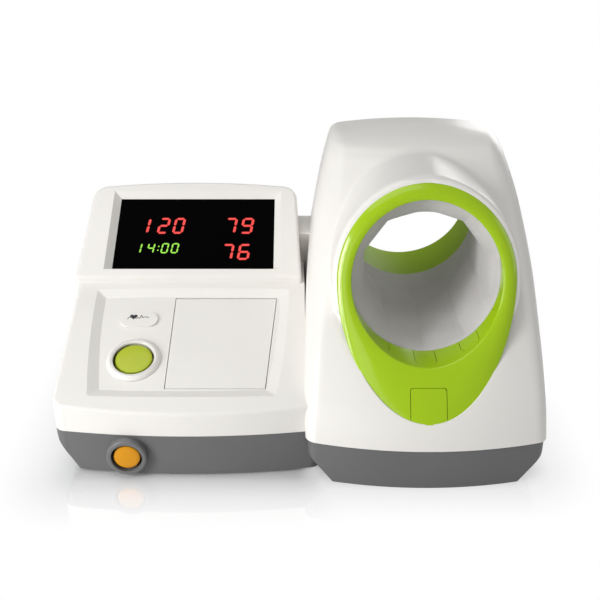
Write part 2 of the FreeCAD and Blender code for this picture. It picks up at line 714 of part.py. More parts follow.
def window_sink(through):
    """The bevelled frame round the window, or the opening through it."""
    low, high, half = float(s.window_low), float(s.window_high), float(s.window_half)
    bevel, deep = float(s.window_bevel), float(s.window_depth)
    if through:
        block = Part.makeBox(2 * half, high - low, 60, Vector(-half, low, -60))
        return placed(block, on(head, float(s.window_shift)))
    outer = wire([Vector(-half - bevel, low - 4, 0), Vector(half + bevel, low - 4, 0),
                  Vector(half + bevel, high + bevel, 0), Vector(-half - bevel, high + bevel, 0)])
    inner = wire([Vector(-half, low, -deep), Vector(half, low, -deep), Vector(half, high, -deep),
                  Vector(-half, high, -deep)])
    return placed(Part.makeLoft([inner, outer], True, True), on(head, float(s.window_shift)))


head_solid = head_body(0)
top_edges = [e for e in head_solid.Edges if e.CenterOfMass.z > foot_z + 3]
head_solid = head_solid.makeFillet(float(s.edge_round), top_edges)
frame_half = float(s.window_half + s.window_bevel) + 4
frame_deep = float(s.window_depth) + wall
frame_back = Part.makeBox(2 * frame_half, 200, frame_deep, Vector(-frame_half, -20, -frame_deep))
frame_back = placed(frame_back, on(head, float(s.window_shift)))
head_shell = head_solid.cut(window_sink(False)).cut(head_body(wall).cut(frame_back)).cut(window_sink(True))
arm_clear = arm_body(-gap, 0)
node("display_housing", shaped(head_shell.cut(arm_clear)))

link_left = console_x + float(s.head_half_width)
link = Part.makeBox(30, 62, 190 - foot_z, spot(link_left - 12, seam_rear - 62 - 18, foot_z))
node("link_cover", shaped(link.cut(head_body(-gap)).cut(arm_clear)))


# ---------------------------------------------------------------- gears and springs

def gear_solid(teeth, module, width, bore_radius, phase):
    """Spur gear with involute flanks, thinned by the play, its first tooth turned by phase (radians)."""
    pitch = teeth * module / 2.0
    base = pitch * math.cos(math.radians(20))
    tip, root = pitch + module, pitch - 1.25 * module
    half_pitch = math.pi / (2 * teeth) - float(s.gear_play) / (2 * pitch)

    def involute(radius):
        angle = math.acos(min(1.0, base / radius))
        return math.tan(angle) - angle

    start = max(base, root)
    radii = [start + (tip - start) * share for share in (0.0, 0.35, 0.7, 1.0)]
    half_angles = [half_pitch + involute(pitch) - involute(r) for r in radii]
    points = []
    for tooth in range(teeth):
        centre = phase + tooth * 2 * math.pi / teeth
        flank = list(zip(radii, half_angles))
        rising = [(root, -half_angles[0])] + [(r, -a) for r, a in flank]
        falling = [(r, a) for r, a in reversed(flank)] + [(root, half_angles[0])]
        for radius, angle in rising + falling:
            points.append(Vector(radius * math.cos(centre + angle), radius * math.sin(centre + angle), 0))
    unique = [p for p, q in zip(points, points[-1:] + points[:-1]) if (p - q).Length > 1e-4]
    solid = prism(unique, Vector(0, 0, width))
    if bore_radius:
        solid = solid.cut(Part.makeCylinder(bore_radius, width + 2, Vector(0, 0, -1)))
    return solid


def coil_spring(radius, wire_radius, length, turns):
    """A compression spring that stands on z = 0."""
    usable = length - 2 * wire_radius
    helix = Part.makeHelix(usable / turns, usable, radius)
    section = Part.Wire(Part.makeCircle(wire_radius, Vector(radius, 0, 0), Vector(0, 1, 0)))
    coil = Part.Wire(helix).makePipeShell([section], True, True)
    coil.translate(Vector(0, 0, wire_radius))
    return coil


ALONG_X = Rotation(Vector(0, 1, 0), 90)
ALONG_Y = Rotation(Vector(1, 0, 0), -90)
AGAINST_Y = Rotation(Vector(1, 0, 0), 90)

# ---------------------------------------------------------------- start button, heart indicator, key board

rim, bezel = s.button_rim, s.bezel_radius
rise = s.bezel_rise
start_spot = on(deck, s.button_u, s.button_v, -s.recess_depth)
node("start_bezel", turned([(rim, 0), (bezel, 0), (bezel - 1.5, rise - 1.4), (bezel - 3.5, rise),
                            (rim + 1, rise), (rim, rise - 1)]), start_spot)
cap, tall = s.button_radius, s.button_height
skin = 2
node("start_button", turned([(0, -9), (s.stem_radius, -9), (s.stem_radius, tall - skin - 1.5),
                             (cap - skin, tall - skin - 1.5), (cap - skin, 0), (cap, 0), (cap, tall - 1.6),
                             (cap - 0.8, tall - 0.6), (cap - 3, tall), (0, tall + 0.4)]),
     on(deck, s.button_u, s.button_v, 0.2 - s.button_height))
board_top = -s.key_board_depth
under_cap = 0.2 - float(skin) - 1.5
start_coil = coil_spring(11.0, 0.5, under_cap - float(board_top), 5)
node("start_spring", shaped(start_coil), on(deck, s.button_u, s.button_v, board_top))
node("start_switch", group(slab(12, 12, 3.5, (0, 0, 0)), rod(3.5, 2.4, (0, 0, 3.5))),
     on(deck, s.button_u, s.button_v, board_top))
board_left, board_width, board_front, board_length = -100, 76, 42, 122
node("key_board", group(box(board_width, board_length, s.board_thickness,
                            (board_left, board_front, board_top - s.board_thickness))), deck)
posts = []
for post_x in (board_left + 5, board_left + board_width - 5):
    for post_y in (board_front + 5, board_front + board_length - 5):
        posts.append(rod(3, s.key_board_depth - s.recess_depth - s.wall, (post_x, post_y, board_top)))
node("board_pillars", group(*posts), deck)
pill_end = s.pill_width / 2
pill_mid = s.pill_length / 2 - pill_end
node("heart_indicator", join(box(pill_mid * 2, s.pill_width, s.pill_rise, (-pill_mid, -pill_end, 0)),
                             rod(pill_end, s.pill_rise, (pill_mid, 0, 0)),
                             rod(pill_end, s.pill_rise, (-pill_mid, 0, 0))),
     on(deck, s.button_u, s.pill_v, -s.recess_depth))

# ---------------------------------------------------------------- printer

door_top = -s.recess_depth
thick = s.door_thickness
door_blank = padded([(s.door_left, s.door_front), (s.door_right, s.door_front),
                     (s.door_right + s.door_flare, s.door_back), (s.door_left, s.door_back)], thick)
door_blank.Label = "door_blank"
doc.recompute()
hinge_v = s.door_back - thick / 2
hinge_n = door_top - thick / 2
door_pin = float(s.door_pin_radius)
pin_length = 13
pin_starts = (float(s.door_left) - 5.0, float(s.door_right + s.door_flare) - 8.5)
pins = []
for start in pin_starts:
    pin_at = Vector(start, float(hinge_v), float(hinge_n))
    pins.append(Part.makeCylinder(door_pin, pin_length, pin_at, Vector(1, 0, 0)))
plate = door_blank.Shape
rear_edges = [e for e in plate.Edges if abs(e.CenterOfMass.y - float(s.door_back)) < 0.01 and e.Length > 20]
plate = plate.makeFillet(float(thick) / 2 - 0.05, rear_edges)
for start in pin_starts:
    hole_at = Vector(start - gap, float(hinge_v), float(thick) / 2)
    plate = plate.cut(Part.makeCylinder(door_pin + float(s.running_clearance), pin_length + 2 * gap, hole_at,
                                        Vector(1, 0, 0)))
node("printer_door", shaped(plate), on(deck, 0, 0, door_top - thick))
hinge_pins = Part.Compound(pins)
node("door_hinge_pins", shaped(hinge_pins), deck)
cover = nodes["console_cover"]
cover.Shape = cover.Shape.cut(placed(hinge_pins, deck))

rim_n = door_top - s.wall
tub_w, tub_l = s.tub_right - s.tub_left, s.tub_back - s.tub_front
tub_floor = rim_n - s.tub_depth
inner_w, inner_l = tub_w - 2 * s.tub_wall, tub_l - 2 * s.tub_wall
cheek_height = s.tub_depth - s.tub_wall - 3
tub_outer = box(tub_w, tub_l, s.tub_depth, (s.tub_left, s.tub_front, tub_floor))
inner_front, inner_floor = s.tub_front + s.tub_wall, tub_floor + s.tub_wall
tub_inner = box(inner_w, inner_l, s.tub_depth, (s.tub_left + s.tub_wall, inner_front, inner_floor))
cheeks = [box(s.tub_wall, inner_l, cheek_height, (left, inner_front, inner_floor))
          for left in (s.cheek_left, s.cheek_left + s.tub_wall + s.cheek_gap)]
platen_n = -s.platen_depth
shaft_hole = rod(s.shaft_radius + s.running_clearance, tub_w, (s.tub_left + 3, s.platen_v, platen_n), "x")
drop = (s.gear_teeth + s.pinion_teeth) * s.gear_module / 2
motor_n = platen_n - drop
pinion_hole = rod(2.2, 6, (s.cheek_left - 2, s.platen_v, motor_n), "x")
tub = cut(join(cut(tub_outer, tub_inner), *cheeks), shaft_hole, pinion_hole)
end_wall = box(2, 12, 12, (s.tub_right - s.tub_wall, s.platen_v - 6, platen_n - 6))
node("paper_tub", join(tub, end_wall), deck)
inside = s.cheek_left + s.tub_wall
spindle_at = (inside, s.roll_v, -s.roll_depth)
node("paper_spindle", group(rod(s.spindle_radius, s.cheek_gap, spindle_at, "x")), deck)
side_play = (s.cheek_gap - s.roll_width) / 2
roll_at = (inside + side_play, s.roll_v, -s.roll_depth)
node("paper_roll", cut(rod(s.roll_radius, s.roll_width, roll_at, "x"),
                       rod(s.spindle_radius + s.running_clearance, s.roll_width, roll_at, "x")), deck)
platen_at = (inside + (s.cheek_gap - s.platen_length) / 2, s.platen_v, platen_n)
node("platen_roller", cut(rod(s.platen_radius, s.platen_length, platen_at, "x"),
                          rod(s.shaft_radius, s.platen_length, platen_at, "x")), deck)
shaft_at = (s.cheek_left - 9, s.platen_v, platen_n)
node("platen_shaft", group(rod(s.shaft_radius, s.cheek_gap + 18, shaft_at, "x")), deck)
teeth, small_teeth = int(float(s.gear_teeth)), int(float(s.pinion_teeth))
module, face = float(s.gear_module), float(s.gear_width)
gear_x = float(s.cheek_left) - 2 - face
node("platen_gear", shaped(gear_solid(teeth, module, face, float(s.shaft_radius), 0.0)),
     on(deck, gear_x, s.platen_v, platen_n, ALONG_X))
pinion = gear_solid(small_teeth, module, face, 0.0, math.pi + math.pi / small_teeth)
pinion = pinion.fuse(Part.makeCylinder(1.9, face + 3.9))
node("feed_pinion", shaped(pinion), on(deck, gear_x, s.platen_v, motor_n, ALONG_X))
node("feed_motor", group(rod(s.motor_radius, s.motor_length, (inside, s.platen_v, motor_n), "x")), deck)
head_v = s.platen_v + s.platen_radius + 0.3
node("print_head", group(box(s.cheek_gap, 6, 16, (inside, head_v, platen_n - 10))), deck)

# ---------------------------------------------------------------- stop button

stop_face = s.console_front - 5
stop_place = Placement(spot(s.stop_x, stop_face, s.stop_z), ALONG_Y)
guard_start = float(s.console_front) - float(s.guard_proud) + 1
bore_radius = float(s.stop_radius + s.stop_recess) + gap
guard_y = guard_start - half_depth
guard = Part.makeCylinder(float(s.guard_radius), 30, spot(s.stop_x, guard_start, s.stop_z), Vector(0, 1, 0))
guard = guard.makeFillet(2.5, [e for e in guard.Edges if abs(e.CenterOfMass.y - guard_y) < 0.1])
guard = guard.cut(Part.makeCylinder(bore_radius, 60, spot(s.stop_x, 0, s.stop_z), Vector(0, 1, 0)))
node("stop_guard", shaped(guard.cut(console_tray(0, 0.0))))
stop_cap = s.stop_radius
node("stop_button", turned([(0, -0.6), (stop_cap - 3, 0), (stop_cap - 0.6, 1), (stop_cap, 2.2),
                            (stop_cap, 16), (stop_cap - 2, 16), (stop_cap - 2, 4), (4, 4), (4, 26),
                            (0, 26)]), stop_place)
switch_height = s.stop_z + 10 - s.foot_height - s.wall
switch_at = (s.stop_x - 12, s.console_front + 25 - half_depth, s.foot_height + s.wall)
node("stop_spring", shaped(coil_spring(8.0, 0.6, 25.8, 5)), on(stop_place, 0, 0, 4.1))
node("stop_switch", group(box(24, 14, switch_height, switch_at)))

# ---------------------------------------------------------------- display

lens_width = s.window_half * 2
lens_height = s.window_high - s.window_low
lens_n = -s.window_depth - s.window_thickness
panel = on(head, s.window_shift)
lens = box(lens_width, lens_height, s.window_thickness, (-s.window_half, s.window_low, lens_n))
node("display_window", group(lens), panel)
module_depth = 6
red_modules = [box(wide, tall_by, module_depth, (left, low, lens_n - module_depth))
               for left, low, wide, tall_by in ((-67, 62, 66, 36), (34, 62, 44, 34), (34, 25, 44, 34))]
node("red_displays", group(*red_modules), panel)
node("green_display", group(box(60, 24, module_depth, (-67, 34, lens_n - module_depth))), panel)
node("display_board", group(box(lens_width - 8, 98, s.board_thickness,
                                (-s.window_half + 4, 27, lens_n - module_depth - s.board_thickness))), panel)

# ---------------------------------------------------------------- power entry on the console's rear face

entry_x = console_x - 90.5
entry_wide, entry_tall, entry_deep = 49, 27, 22
entry = Part.makeBox(entry_wide, entry_deep, entry_tall, spot(entry_x, console_rear - entry_deep, 17.5))
socket = Part.makeBox(24, 14, 16, spot(entry_x + 3, console_rear - 14, 23))
rocker_z, rocker_x = 17.5 + entry_tall / 2.0, entry_x + 39
aperture = Part.makeBox(13, 14, 21, spot(rocker_x - 6.5, console_rear - 14, rocker_z - 10.5))
trunnion = Part.makeCylinder(1.25, 17, spot(rocker_x - 8.5, console_rear - 6, rocker_z), Vector(1, 0, 0))
entry = entry.cut(socket).cut(aperture).cut(trunnion)
for pin_x, pin_z in ((8, 28), (15, 31), (22, 28)):
    entry = entry.fuse(Part.makeBox(2, 9, 6, spot(entry_x + pin_x - 1, console_rear - 15, pin_z - 3)))
node("power_inlet", shaped(entry))
profile = [(4.6, 0), (3, 9), (-4, 8.5), (-5, 0), (-4, -8.5), (3, -9)]
rocker = prism([Vector(0, depth, z) for depth, z in profile], Vector(12, 0, 0))
rocker.translate(Vector(-6, 0, 0))
rocker = rocker.fuse(Part.makeCylinder(1.2, 16, Vector(-8, 0, 0), Vector(1, 0, 0)))
rocker_spot = Placement(spot(rocker_x, console_rear - 6, rocker_z), Rotation(Vector(1, 0, 0), -8))
node("power_rocker", shaped(rocker), rocker_spot)

# ---------------------------------------------------------------- boards and supplies in the console

console_floor = float(s.foot_height) + wall
main_x, main_y = console_x - 10, console_rear - 134 - half_depth
standoffs = [rod(3, s.standoff, (main_x + dx, main_y + dy, console_floor))
             for dx in (-70, 70) for dy in (-42, 42)]
board_z = console_floor + s.standoff
chip_z = board_z + s.board_thickness
node("main_board", group(slab(152, 96, s.board_thickness, (main_x, main_y, board_z)), *standoffs))
chip_sizes = ((22, 22, 2, -20, 10), (14, 10, 2, 20, 20), (30, 12, 9, 50, -30), (12, 12, 8, -58, 28))
chips = [slab(width, depth, height, (main_x + dx, main_y + dy, chip_z))
         for width, depth, height, dx, dy in chip_sizes]
node("board_chips", group(*chips))
sensor_x, sensor_y = main_x + 10, main_y - 25
node("pressure_sensor", group(slab(12, 12, 7, (sensor_x, sensor_y, chip_z)),
                              rod(2, 6, (sensor_x, sensor_y, chip_z + 7))))
supply_y = console_rear - 52 - half_depth
node("power_supply", group(slab(76, 44, 30, (console_x - 58, supply_y, console_floor))))
node("speaker", group(rod(22, 9, (console_x + 60, 100 - half_depth, console_floor))))

# ---------------------------------------------------------------- cuff, drum and winding drive

drum_inner = s.tunnel_radius + s.ring_wall + 0.5 + s.bladder_thickness + 0.4
drum_outer = float(drum_inner + s.drum_wall)
drum_zone = leaning_front(float(s.sleeve_front) + 6, float(s.sleeve_lean))
drum = bore(drum_outer, 60, float(s.sleeve_end) - 60).cut(bore(drum_inner)).common(drum_zone)
node("cuff_drum", shaped(drum))
bladder_inner = float(s.tunnel_radius + s.ring_wall) + 0.5
bladder = bore(bladder_inner + float(s.bladder_thickness), 60, float(s.sleeve_end) - 64)
bladder = bladder.cut(bore(bladder_inner))
node("air_bladder", shaped(bladder.common(drum_zone)))
sleeve_outer = float(s.tunnel_radius + s.ring_wall)
sleeve = bore(sleeve_outer, 60, float(s.sleeve_end) - 60).common(sleeve_zone)
drop_z = float(s.sleeve_drop)
sleeve = sleeve.cut(bore(s.sleeve_radius, drop=drop_z))
funnel = Part.makeCone(float(s.tunnel_radius) + 3, float(s.sleeve_radius) - 2, 72)
funnel.Placement = Placement(spot(arm_x, float(s.sleeve_front) - 12, float(s.tunnel_z)), ALONG_Y)
flare = Part.makeCone(float(s.sleeve_radius) - 2, float(s.tunnel_radius), 60)
flare.Placement = Placement(spot(arm_x, float(s.sleeve_end) - 60, float(s.tunnel_z)), ALONG_Y)
node("cuff_cover", shaped(sleeve.cut(funnel).cut(flare)))

chassis_z = float(s.foot_height) + wall
node("chassis_plate", group(box(176, 280, 2, (arm_x - 88, 45 - half_depth, chassis_z))))
saddle_top = chassis_z + 2
saddles = []
for depth in (158.0, 257.0):
    saddle = Part.makeBox(184, 3, 205, spot(arm_x - 92, depth, saddle_top))
    saddle = saddle.common(arm_body(wall + 1, wall + 1).fuse(arm_tray(wall + 1, 0.0)))
    saddle = saddle.cut(bore(drum_outer + 0.05))
    saddles.append(saddle)
winder_pitch = float(s.winder_module) * float(s.winder_teeth) / 2
winder_pinion_pitch = float(s.winder_module) * float(s.winder_pinion_teeth) / 2
winder_z = float(s.tunnel_z) - winder_pitch - winder_pinion_pitch
shaft_pass = Part.makeCylinder(3, 20, spot(arm_x, 250, winder_z), Vector(0, 1, 0))
node("drum_saddles", shaped(Part.Compound([saddles[0], saddles[1].cut(shaft_pass)])))
wide = float(s.winder_width)
winder_rear = s.winder_depth + s.winder_width
ring_gear = gear_solid(int(float(s.winder_teeth)), float(s.winder_module), wide,
                       drum_outer + float(s.running_clearance), -math.pi / 2)
node("winding_gear", shaped(ring_gear), Placement(spot(arm_x, winder_rear, s.tunnel_z), AGAINST_Y))
count = int(float(s.winder_pinion_teeth))
small = gear_solid(count, float(s.winder_module), wide, 0.0, math.pi / 2 + math.pi / count)
small = small.fuse(Part.makeCylinder(2.8, wide + 4.9))
node("winding_pinion", shaped(small), Placement(spot(arm_x, winder_rear, winder_z), AGAINST_Y))
node("winding_motor", group(rod(15, 44, (arm_x, 257 - 44 - half_depth, winder_z), "y")))

# ---------------------------------------------------------------- pump, valves and hose

pump_x, pump_depth = arm_x - 46, 200.0
pump_z = saddle_top + 20
node("air_pump", join(rod(18, 58, (pump_x - 36, pump_depth - half_depth, pump_z), "x"),
                      box(22, 40, 40, (pump_x + 22, pump_depth - 20 - half_depth, saddle_top)),
                      box(10, 30, 4, (pump_x - 25, pump_depth - 15 - half_depth, saddle_top)),
                      rod(3, 6, (pump_x + 33, pump_depth - 8 - half_depth, saddle_top + 40))))
valves = []
for valve_x in (arm_x + 30, arm_x + 58):
    valves.append(slab(20, 30, 22, (valve_x, 200 - half_depth, saddle_top)))
    valves.append(rod(3, 8, (valve_x, 200 - half_depth, saddle_top + 22)))
node("exhaust_valves", group(*valves))


def hose_path(points, share=0.45):
    """Straight runs joined by tangent arcs."""
    edges = []
    last = points[0]
    for before, corner, after in zip(points, points[1:], points[2:]):
        into, out = (corner - before), (after - corner)
        turn = into.getAngle(out)
        radius = share * min(into.Length, out.Length) / math.tan(turn / 2)
        reach = radius * math.tan(turn / 2)
        into.normalize()
        out.normalize()
        start, end = corner - into * reach, corner + out * reach
        middle = corner + (out - into).normalize() * (radius / math.cos(turn / 2) - radius)
        edges += [Part.LineSegment(last, start).toShape(), Part.Arc(start, middle, end).toShape()]
        last = end
    edges.append(Part.LineSegment(last, points[-1]).toShape())
    return Part.Wire(edges)


hose_radius = 3.0
nozzle = spot(pump_x + 33, pump_depth - 8, saddle_top + 46)
drum_bottom = spot(arm_x, pump_depth - 8, float(s.tunnel_z) - drum_outer)
route = [nozzle, nozzle + Vector(0, 0, 22), Vector(drum_bottom.x, nozzle.y, nozzle.z + 34), drum_bottom]
path = hose_path(route)
section = Part.Wire(Part.makeCircle(hose_radius, nozzle, Vector(0, 0, 1)))
hose = path.makePipeShell([section], True, True)
node("air_hose", shaped(hose.cut(bore(drum_outer))))

# ---------------------------------------------------------------- feet and screws

feet, screws = [], []
rear_row = console_rear - 31
foot_spots = [(console_x - 92, 55), (console_x + 92, 58), (console_x - 92, rear_row),
              (console_x + 92, rear_row), (arm_x - 78, 40), (arm_x + 78, 40),
              (arm_x - 78, rear_row), (arm_x + 78, rear_row)]
for x, depth in foot_spots:
    feet.append(rod(s.foot_radius, s.foot_height, (x, depth - half_depth, 0)))
    screws.append(rod(4, 1.6, (x, depth + 20 - half_depth, s.foot_height - 1.6)))
node("rubber_feet", group(*feet))
node("case_screws", group(*screws))

# ---------------------------------------------------------------- checks and files

doc.recompute()
for thing in doc.Objects:
    if "Invalid" in thing.State or "Error" in thing.State:
        raise RuntimeError("%s failed: %s" % (thing.Label, thing.State))
for name, thing in nodes.items():
    if thing.Shape.isNull() or not thing.Shape.isValid() or not thing.Shape.Solids:
        raise RuntimeError("%s has no valid shape" % name)
os.makedirs("parts", exist_ok=True)
for name, thing in nodes.items():
    thing.Shape.exportStep(os.path.join("parts", name + ".step"))
print("%d nodes" % len(nodes))
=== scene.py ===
"""Looks of an arm-in blood pressure monitor: console with display head on the left, arm unit on the right.

Lengths are worked out in millimetres, as in the solid model, and written to meshes in metres.
X to the right, Y to the rear, Z up. A depth is counted from the foremost face of the arm unit.
"""
import json
import math

import bpy
import bmesh
import numpy as np
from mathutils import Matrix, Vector
from mathutils.geometry import delaunay_2d_cdt


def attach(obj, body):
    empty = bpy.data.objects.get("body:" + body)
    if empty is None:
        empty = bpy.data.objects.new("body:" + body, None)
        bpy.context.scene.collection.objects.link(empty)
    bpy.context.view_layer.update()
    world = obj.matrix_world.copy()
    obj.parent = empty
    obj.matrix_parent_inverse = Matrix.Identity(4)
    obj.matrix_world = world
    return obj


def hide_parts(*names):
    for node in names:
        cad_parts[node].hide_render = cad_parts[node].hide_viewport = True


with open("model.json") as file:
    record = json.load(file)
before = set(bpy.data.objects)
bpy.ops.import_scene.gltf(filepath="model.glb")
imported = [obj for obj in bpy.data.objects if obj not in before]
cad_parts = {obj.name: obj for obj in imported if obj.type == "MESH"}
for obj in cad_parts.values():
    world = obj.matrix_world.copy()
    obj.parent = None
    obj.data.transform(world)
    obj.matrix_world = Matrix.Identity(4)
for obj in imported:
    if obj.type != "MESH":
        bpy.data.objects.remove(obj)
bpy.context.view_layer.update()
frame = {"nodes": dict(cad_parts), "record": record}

HALF_DEPTH = 183.0
ARM_X, TUNNEL_Z = 134.5, 201.6
CONSOLE_X = -130.0


# ---------------------------------------------------------------- shader maths

class Value:
    """A socket that writes Math nodes when it is reckoned with."""

    def __init__(self, look, socket):
        self.look, self.socket = look, socket

    def __add__(self, other):
        return self.look.math("ADD", self, other)

    def __radd__(self, other):
        return self.look.math("ADD", other, self)

    def __sub__(self, other):
        return self.look.math("SUBTRACT", self, other)

    def __rsub__(self, other):
        return self.look.math("SUBTRACT", other, self)

    def __mul__(self, other):
        return self.look.math("MULTIPLY", self, other)

    def __rmul__(self, other):
        return self.look.math("MULTIPLY", other, self)

    def __pow__(self, other):
        return self.look.math("POWER", self, other)

    def smooth(self, low, high):
        """0 below low, 1 above high, and a smooth rise between them."""
        kind = {"interpolation_type": "SMOOTHSTEP"}
        return self.look.node("ShaderNodeMapRange", kind, self, low, high, 0.0, 1.0)


class Look:
    """A material and the nodes that make it."""

    def __init__(self, name):
        self.material = bpy.data.materials.new(name)
        self.material.use_nodes = True
        self.tree = self.material.node_tree
        self.tree.nodes.clear()
        self.place = self.output("ShaderNodeTexCoord", "Object")
        self.cloth = self.output("ShaderNodeTexCoord", "UV")

    def make(self, kind, settings, values):
        """Adds a node; a socket given as None keeps its own value."""
        made = self.tree.nodes.new(kind)
        for key, value in settings.items():
            setattr(made, key, value)
        keyed = values.items() if isinstance(values, dict) else enumerate(values)
        for key, value in keyed:
            socket = made.inputs[key]
            if isinstance(value, Value):
                self.tree.links.new(value.socket, socket)
            elif value is not None:
                socket.default_value = value
        return made

    def node(self, kind, settings=None, *values, out=0, **named):
        """Adds a node with its settings and the values or links of its sockets; gives one output."""
        made = self.make(kind, settings or {}, named if named else values)
        return Value(self, made.outputs[out])

    def math(self, operation, *parts):
        return self.node("ShaderNodeMath", {"operation": operation}, *parts)

    def output(self, kind, out):
        return Value(self, self.tree.nodes.new(kind).outputs[out])

    def noise(self, scale, detail=2.0, where=None, roughness=0.5):
        return self.node("ShaderNodeTexNoise", None, out="Fac", Vector=where or self.place, Scale=scale,
                         Detail=detail, Roughness=roughness)

    def stretched(self, scale, where=None):
        return self.node("ShaderNodeMapping", None, Vector=where or self.place, Scale=scale)

    def mix(self, share, first, second):
        """Mixes two colours."""
        made = self.make("ShaderNodeMix", {"data_type": "RGBA"}, {})
        for socket, value in ((made.inputs[0], share), (made.inputs[6], first), (made.inputs[7], second)):
            if isinstance(value, Value):
                self.tree.links.new(value.socket, socket)
            elif isinstance(value, tuple):
                socket.default_value = (*value[:3], 1.0)
            else:
                socket.default_value = value
        return Value(self, made.outputs[2])

    def bump(self, height, distance, strength=1.0, under=None):
        named = {"Height": height, "Distance": distance, "Strength": strength}
        if under is not None:
            named["Normal"] = under
        return self.node("ShaderNodeBump", None, **named)

    def shader(self, **sockets):
        """The Principled surface. Underscores stand for the blanks of its socket names."""
        named = {key.replace("_", " "): value for key, value in sockets.items()}
        for key, value in named.items():
            if isinstance(value, tuple) and len(value) == 3 and "Color" in key:
                named[key] = (*value, 1.0)
        return self.node("ShaderNodeBsdfPrincipled", None, **named)

    def finish(self, surface):
        self.make("ShaderNodeOutputMaterial", {}, {"Surface": surface})
        return self.material


def moulded(name, colour, rough, grain=0.00004, coat=0.0, spread=0.03, specular=0.5):
    """Moulded plastic: fine spark-eroded grain, faint clouding of colour and gloss."""
    look = Look(name)
    cloud = look.noise(9.0, 3.0)
    fine = look.noise(1900.0, 2.0)
    darker = tuple(c * (1.0 - spread) for c in colour)
    lighter = tuple(min(1.0, c * (1.0 + spread)) for c in colour)
    shade = look.mix(cloud.smooth(0.3, 0.7), darker, lighter)
    gloss = (look.noise(38.0, 3.0) - 0.5) * 0.10 + (fine - 0.5) * 0.06 + rough
    return look.finish(look.shader(Base_Color=shade, Roughness=gloss, Coat_Weight=coat, Coat_Roughness=0.08,
                                   Specular_IOR_Level=specular, Normal=look.bump(fine, grain, 0.5)))


def metal(name, colour, rough, along=(900.0, 12.0, 900.0)):
    """Drawn or ground metal with fine lines and smudged gloss."""
    look = Look(name)
    lines = look.noise(1.0, 2.0, look.stretched(along))
    smudge = look.noise(45.0, 4.0)
    shade = look.mix(smudge.smooth(0.25, 0.75), tuple(c * 0.86 for c in colour), colour)
    gloss = (lines - 0.5) * 0.16 + smudge * 0.1 + rough
    return look.finish(look.shader(Base_Color=shade, Metallic=1.0, Roughness=gloss,
                                   Normal=look.bump(lines, 0.00003, 0.4)))


def woven(name, colour):
    """Plain weave of a soft polyester cloth, in the piece's own UV in metres."""
    look = Look(name)
    pitch = 0.0011
    bands = 0.314 / pitch
    threads = (look.node("ShaderNodeTexWave", {"wave_type": "BANDS", "bands_direction": axis}, out="Fac",
                         Vector=look.cloth, Scale=bands, Distortion=0.6, Detail=1.0) for axis in "XY")
    weave = look.math("MAXIMUM", *threads)
    fleck = look.noise(1.0, 3.0, look.stretched((420.0, 90.0, 1.0), look.cloth))
    soft = look.noise(26.0, 3.0)
    tone = weave * 0.25 + fleck * 0.45 + soft.smooth(0.3, 0.7) * 0.3
    shade = look.mix(tone, tuple(c * 0.86 for c in colour), tuple(min(1.0, c * 1.10) for c in colour))
    return look.finish(look.shader(Base_Color=shade, Roughness=0.86 + fleck * 0.08, Sheen_Weight=0.25,
                                   Sheen_Roughness=0.5, Specular_IOR_Level=0.2,
                                   Normal=look.bump(weave, 0.00025, 0.35)))


def rubber(name, colour, rough=0.7):
    """Matt rubber with pale dust on it."""
    look = Look(name)
    dust = look.noise(120.0, 4.0)
    shade = look.mix(dust.smooth(0.45, 0.8), colour, tuple(c * 1.5 + 0.01 for c in colour))
    return look.finish(look.shader(Base_Color=shade, Roughness=dust * 0.15 + (rough - 0.08),
                                   Normal=look.bump(look.noise(700.0, 2.0), 0.00006, 0.5)))


def circuit(name):
    """Solder-masked board with faint copper tracks under the lacquer."""
    look = Look(name)
    tracks = look.node("ShaderNodeTexBrick", {"offset": 0.5, "squash": 1.0}, out="Fac", Vector=look.place,
                       Scale=90.0, **{"Mortar Size": 0.03})
    shade = look.mix(tracks, (0.012, 0.13, 0.055), (0.03, 0.26, 0.10))
    return look.finish(look.shader(Base_Color=shade, Roughness=look.noise(60.0) * 0.12 + 0.22,
                                   Normal=look.bump(tracks, 0.00004, 0.5)))


def smoked(name):
    """Black see-through acrylic, polished, with the faintest haze."""
    look = Look(name)
    haze = look.noise(14.0, 3.0)
    shade = look.mix(haze, (0.0012, 0.0012, 0.0014), (0.002, 0.002, 0.0024))
    return look.finish(look.shader(Base_Color=shade, Roughness=haze * 0.05 + 0.05, Specular_IOR_Level=0.0,
                                   Normal=look.bump(haze, 0.00002, 0.2)))


def lit(name, colour, strength):
    """A lit figure with a faint grain in its glow."""
    look = Look(name)
    grain = look.noise(500.0, 1.0)
    glow = look.mix(grain, tuple(c * 0.9 for c in colour), colour)
    return look.finish(look.shader(Base_Color=tuple(c * 0.2 for c in colour), Roughness=grain * 0.1 + 0.4,
                                   Emission_Color=glow, Emission_Strength=strength))


def paper_look(name):
    """Wound paper, with fine lines across the roll's axis."""
    look = Look(name)
    wound = look.noise(1.0, 2.0, look.stretched((4.0, 2600.0, 2600.0)))
    shade = look.mix(wound, (0.86, 0.86, 0.84), (0.93, 0.93, 0.91))
    return look.finish(look.shader(Base_Color=shade, Roughness=wound * 0.1 + 0.5,
                                   Normal=look.bump(wound, 0.00003, 0.5)))


# Depth of the grain on a polished mould, in metres.
POLISHED = 0.00001

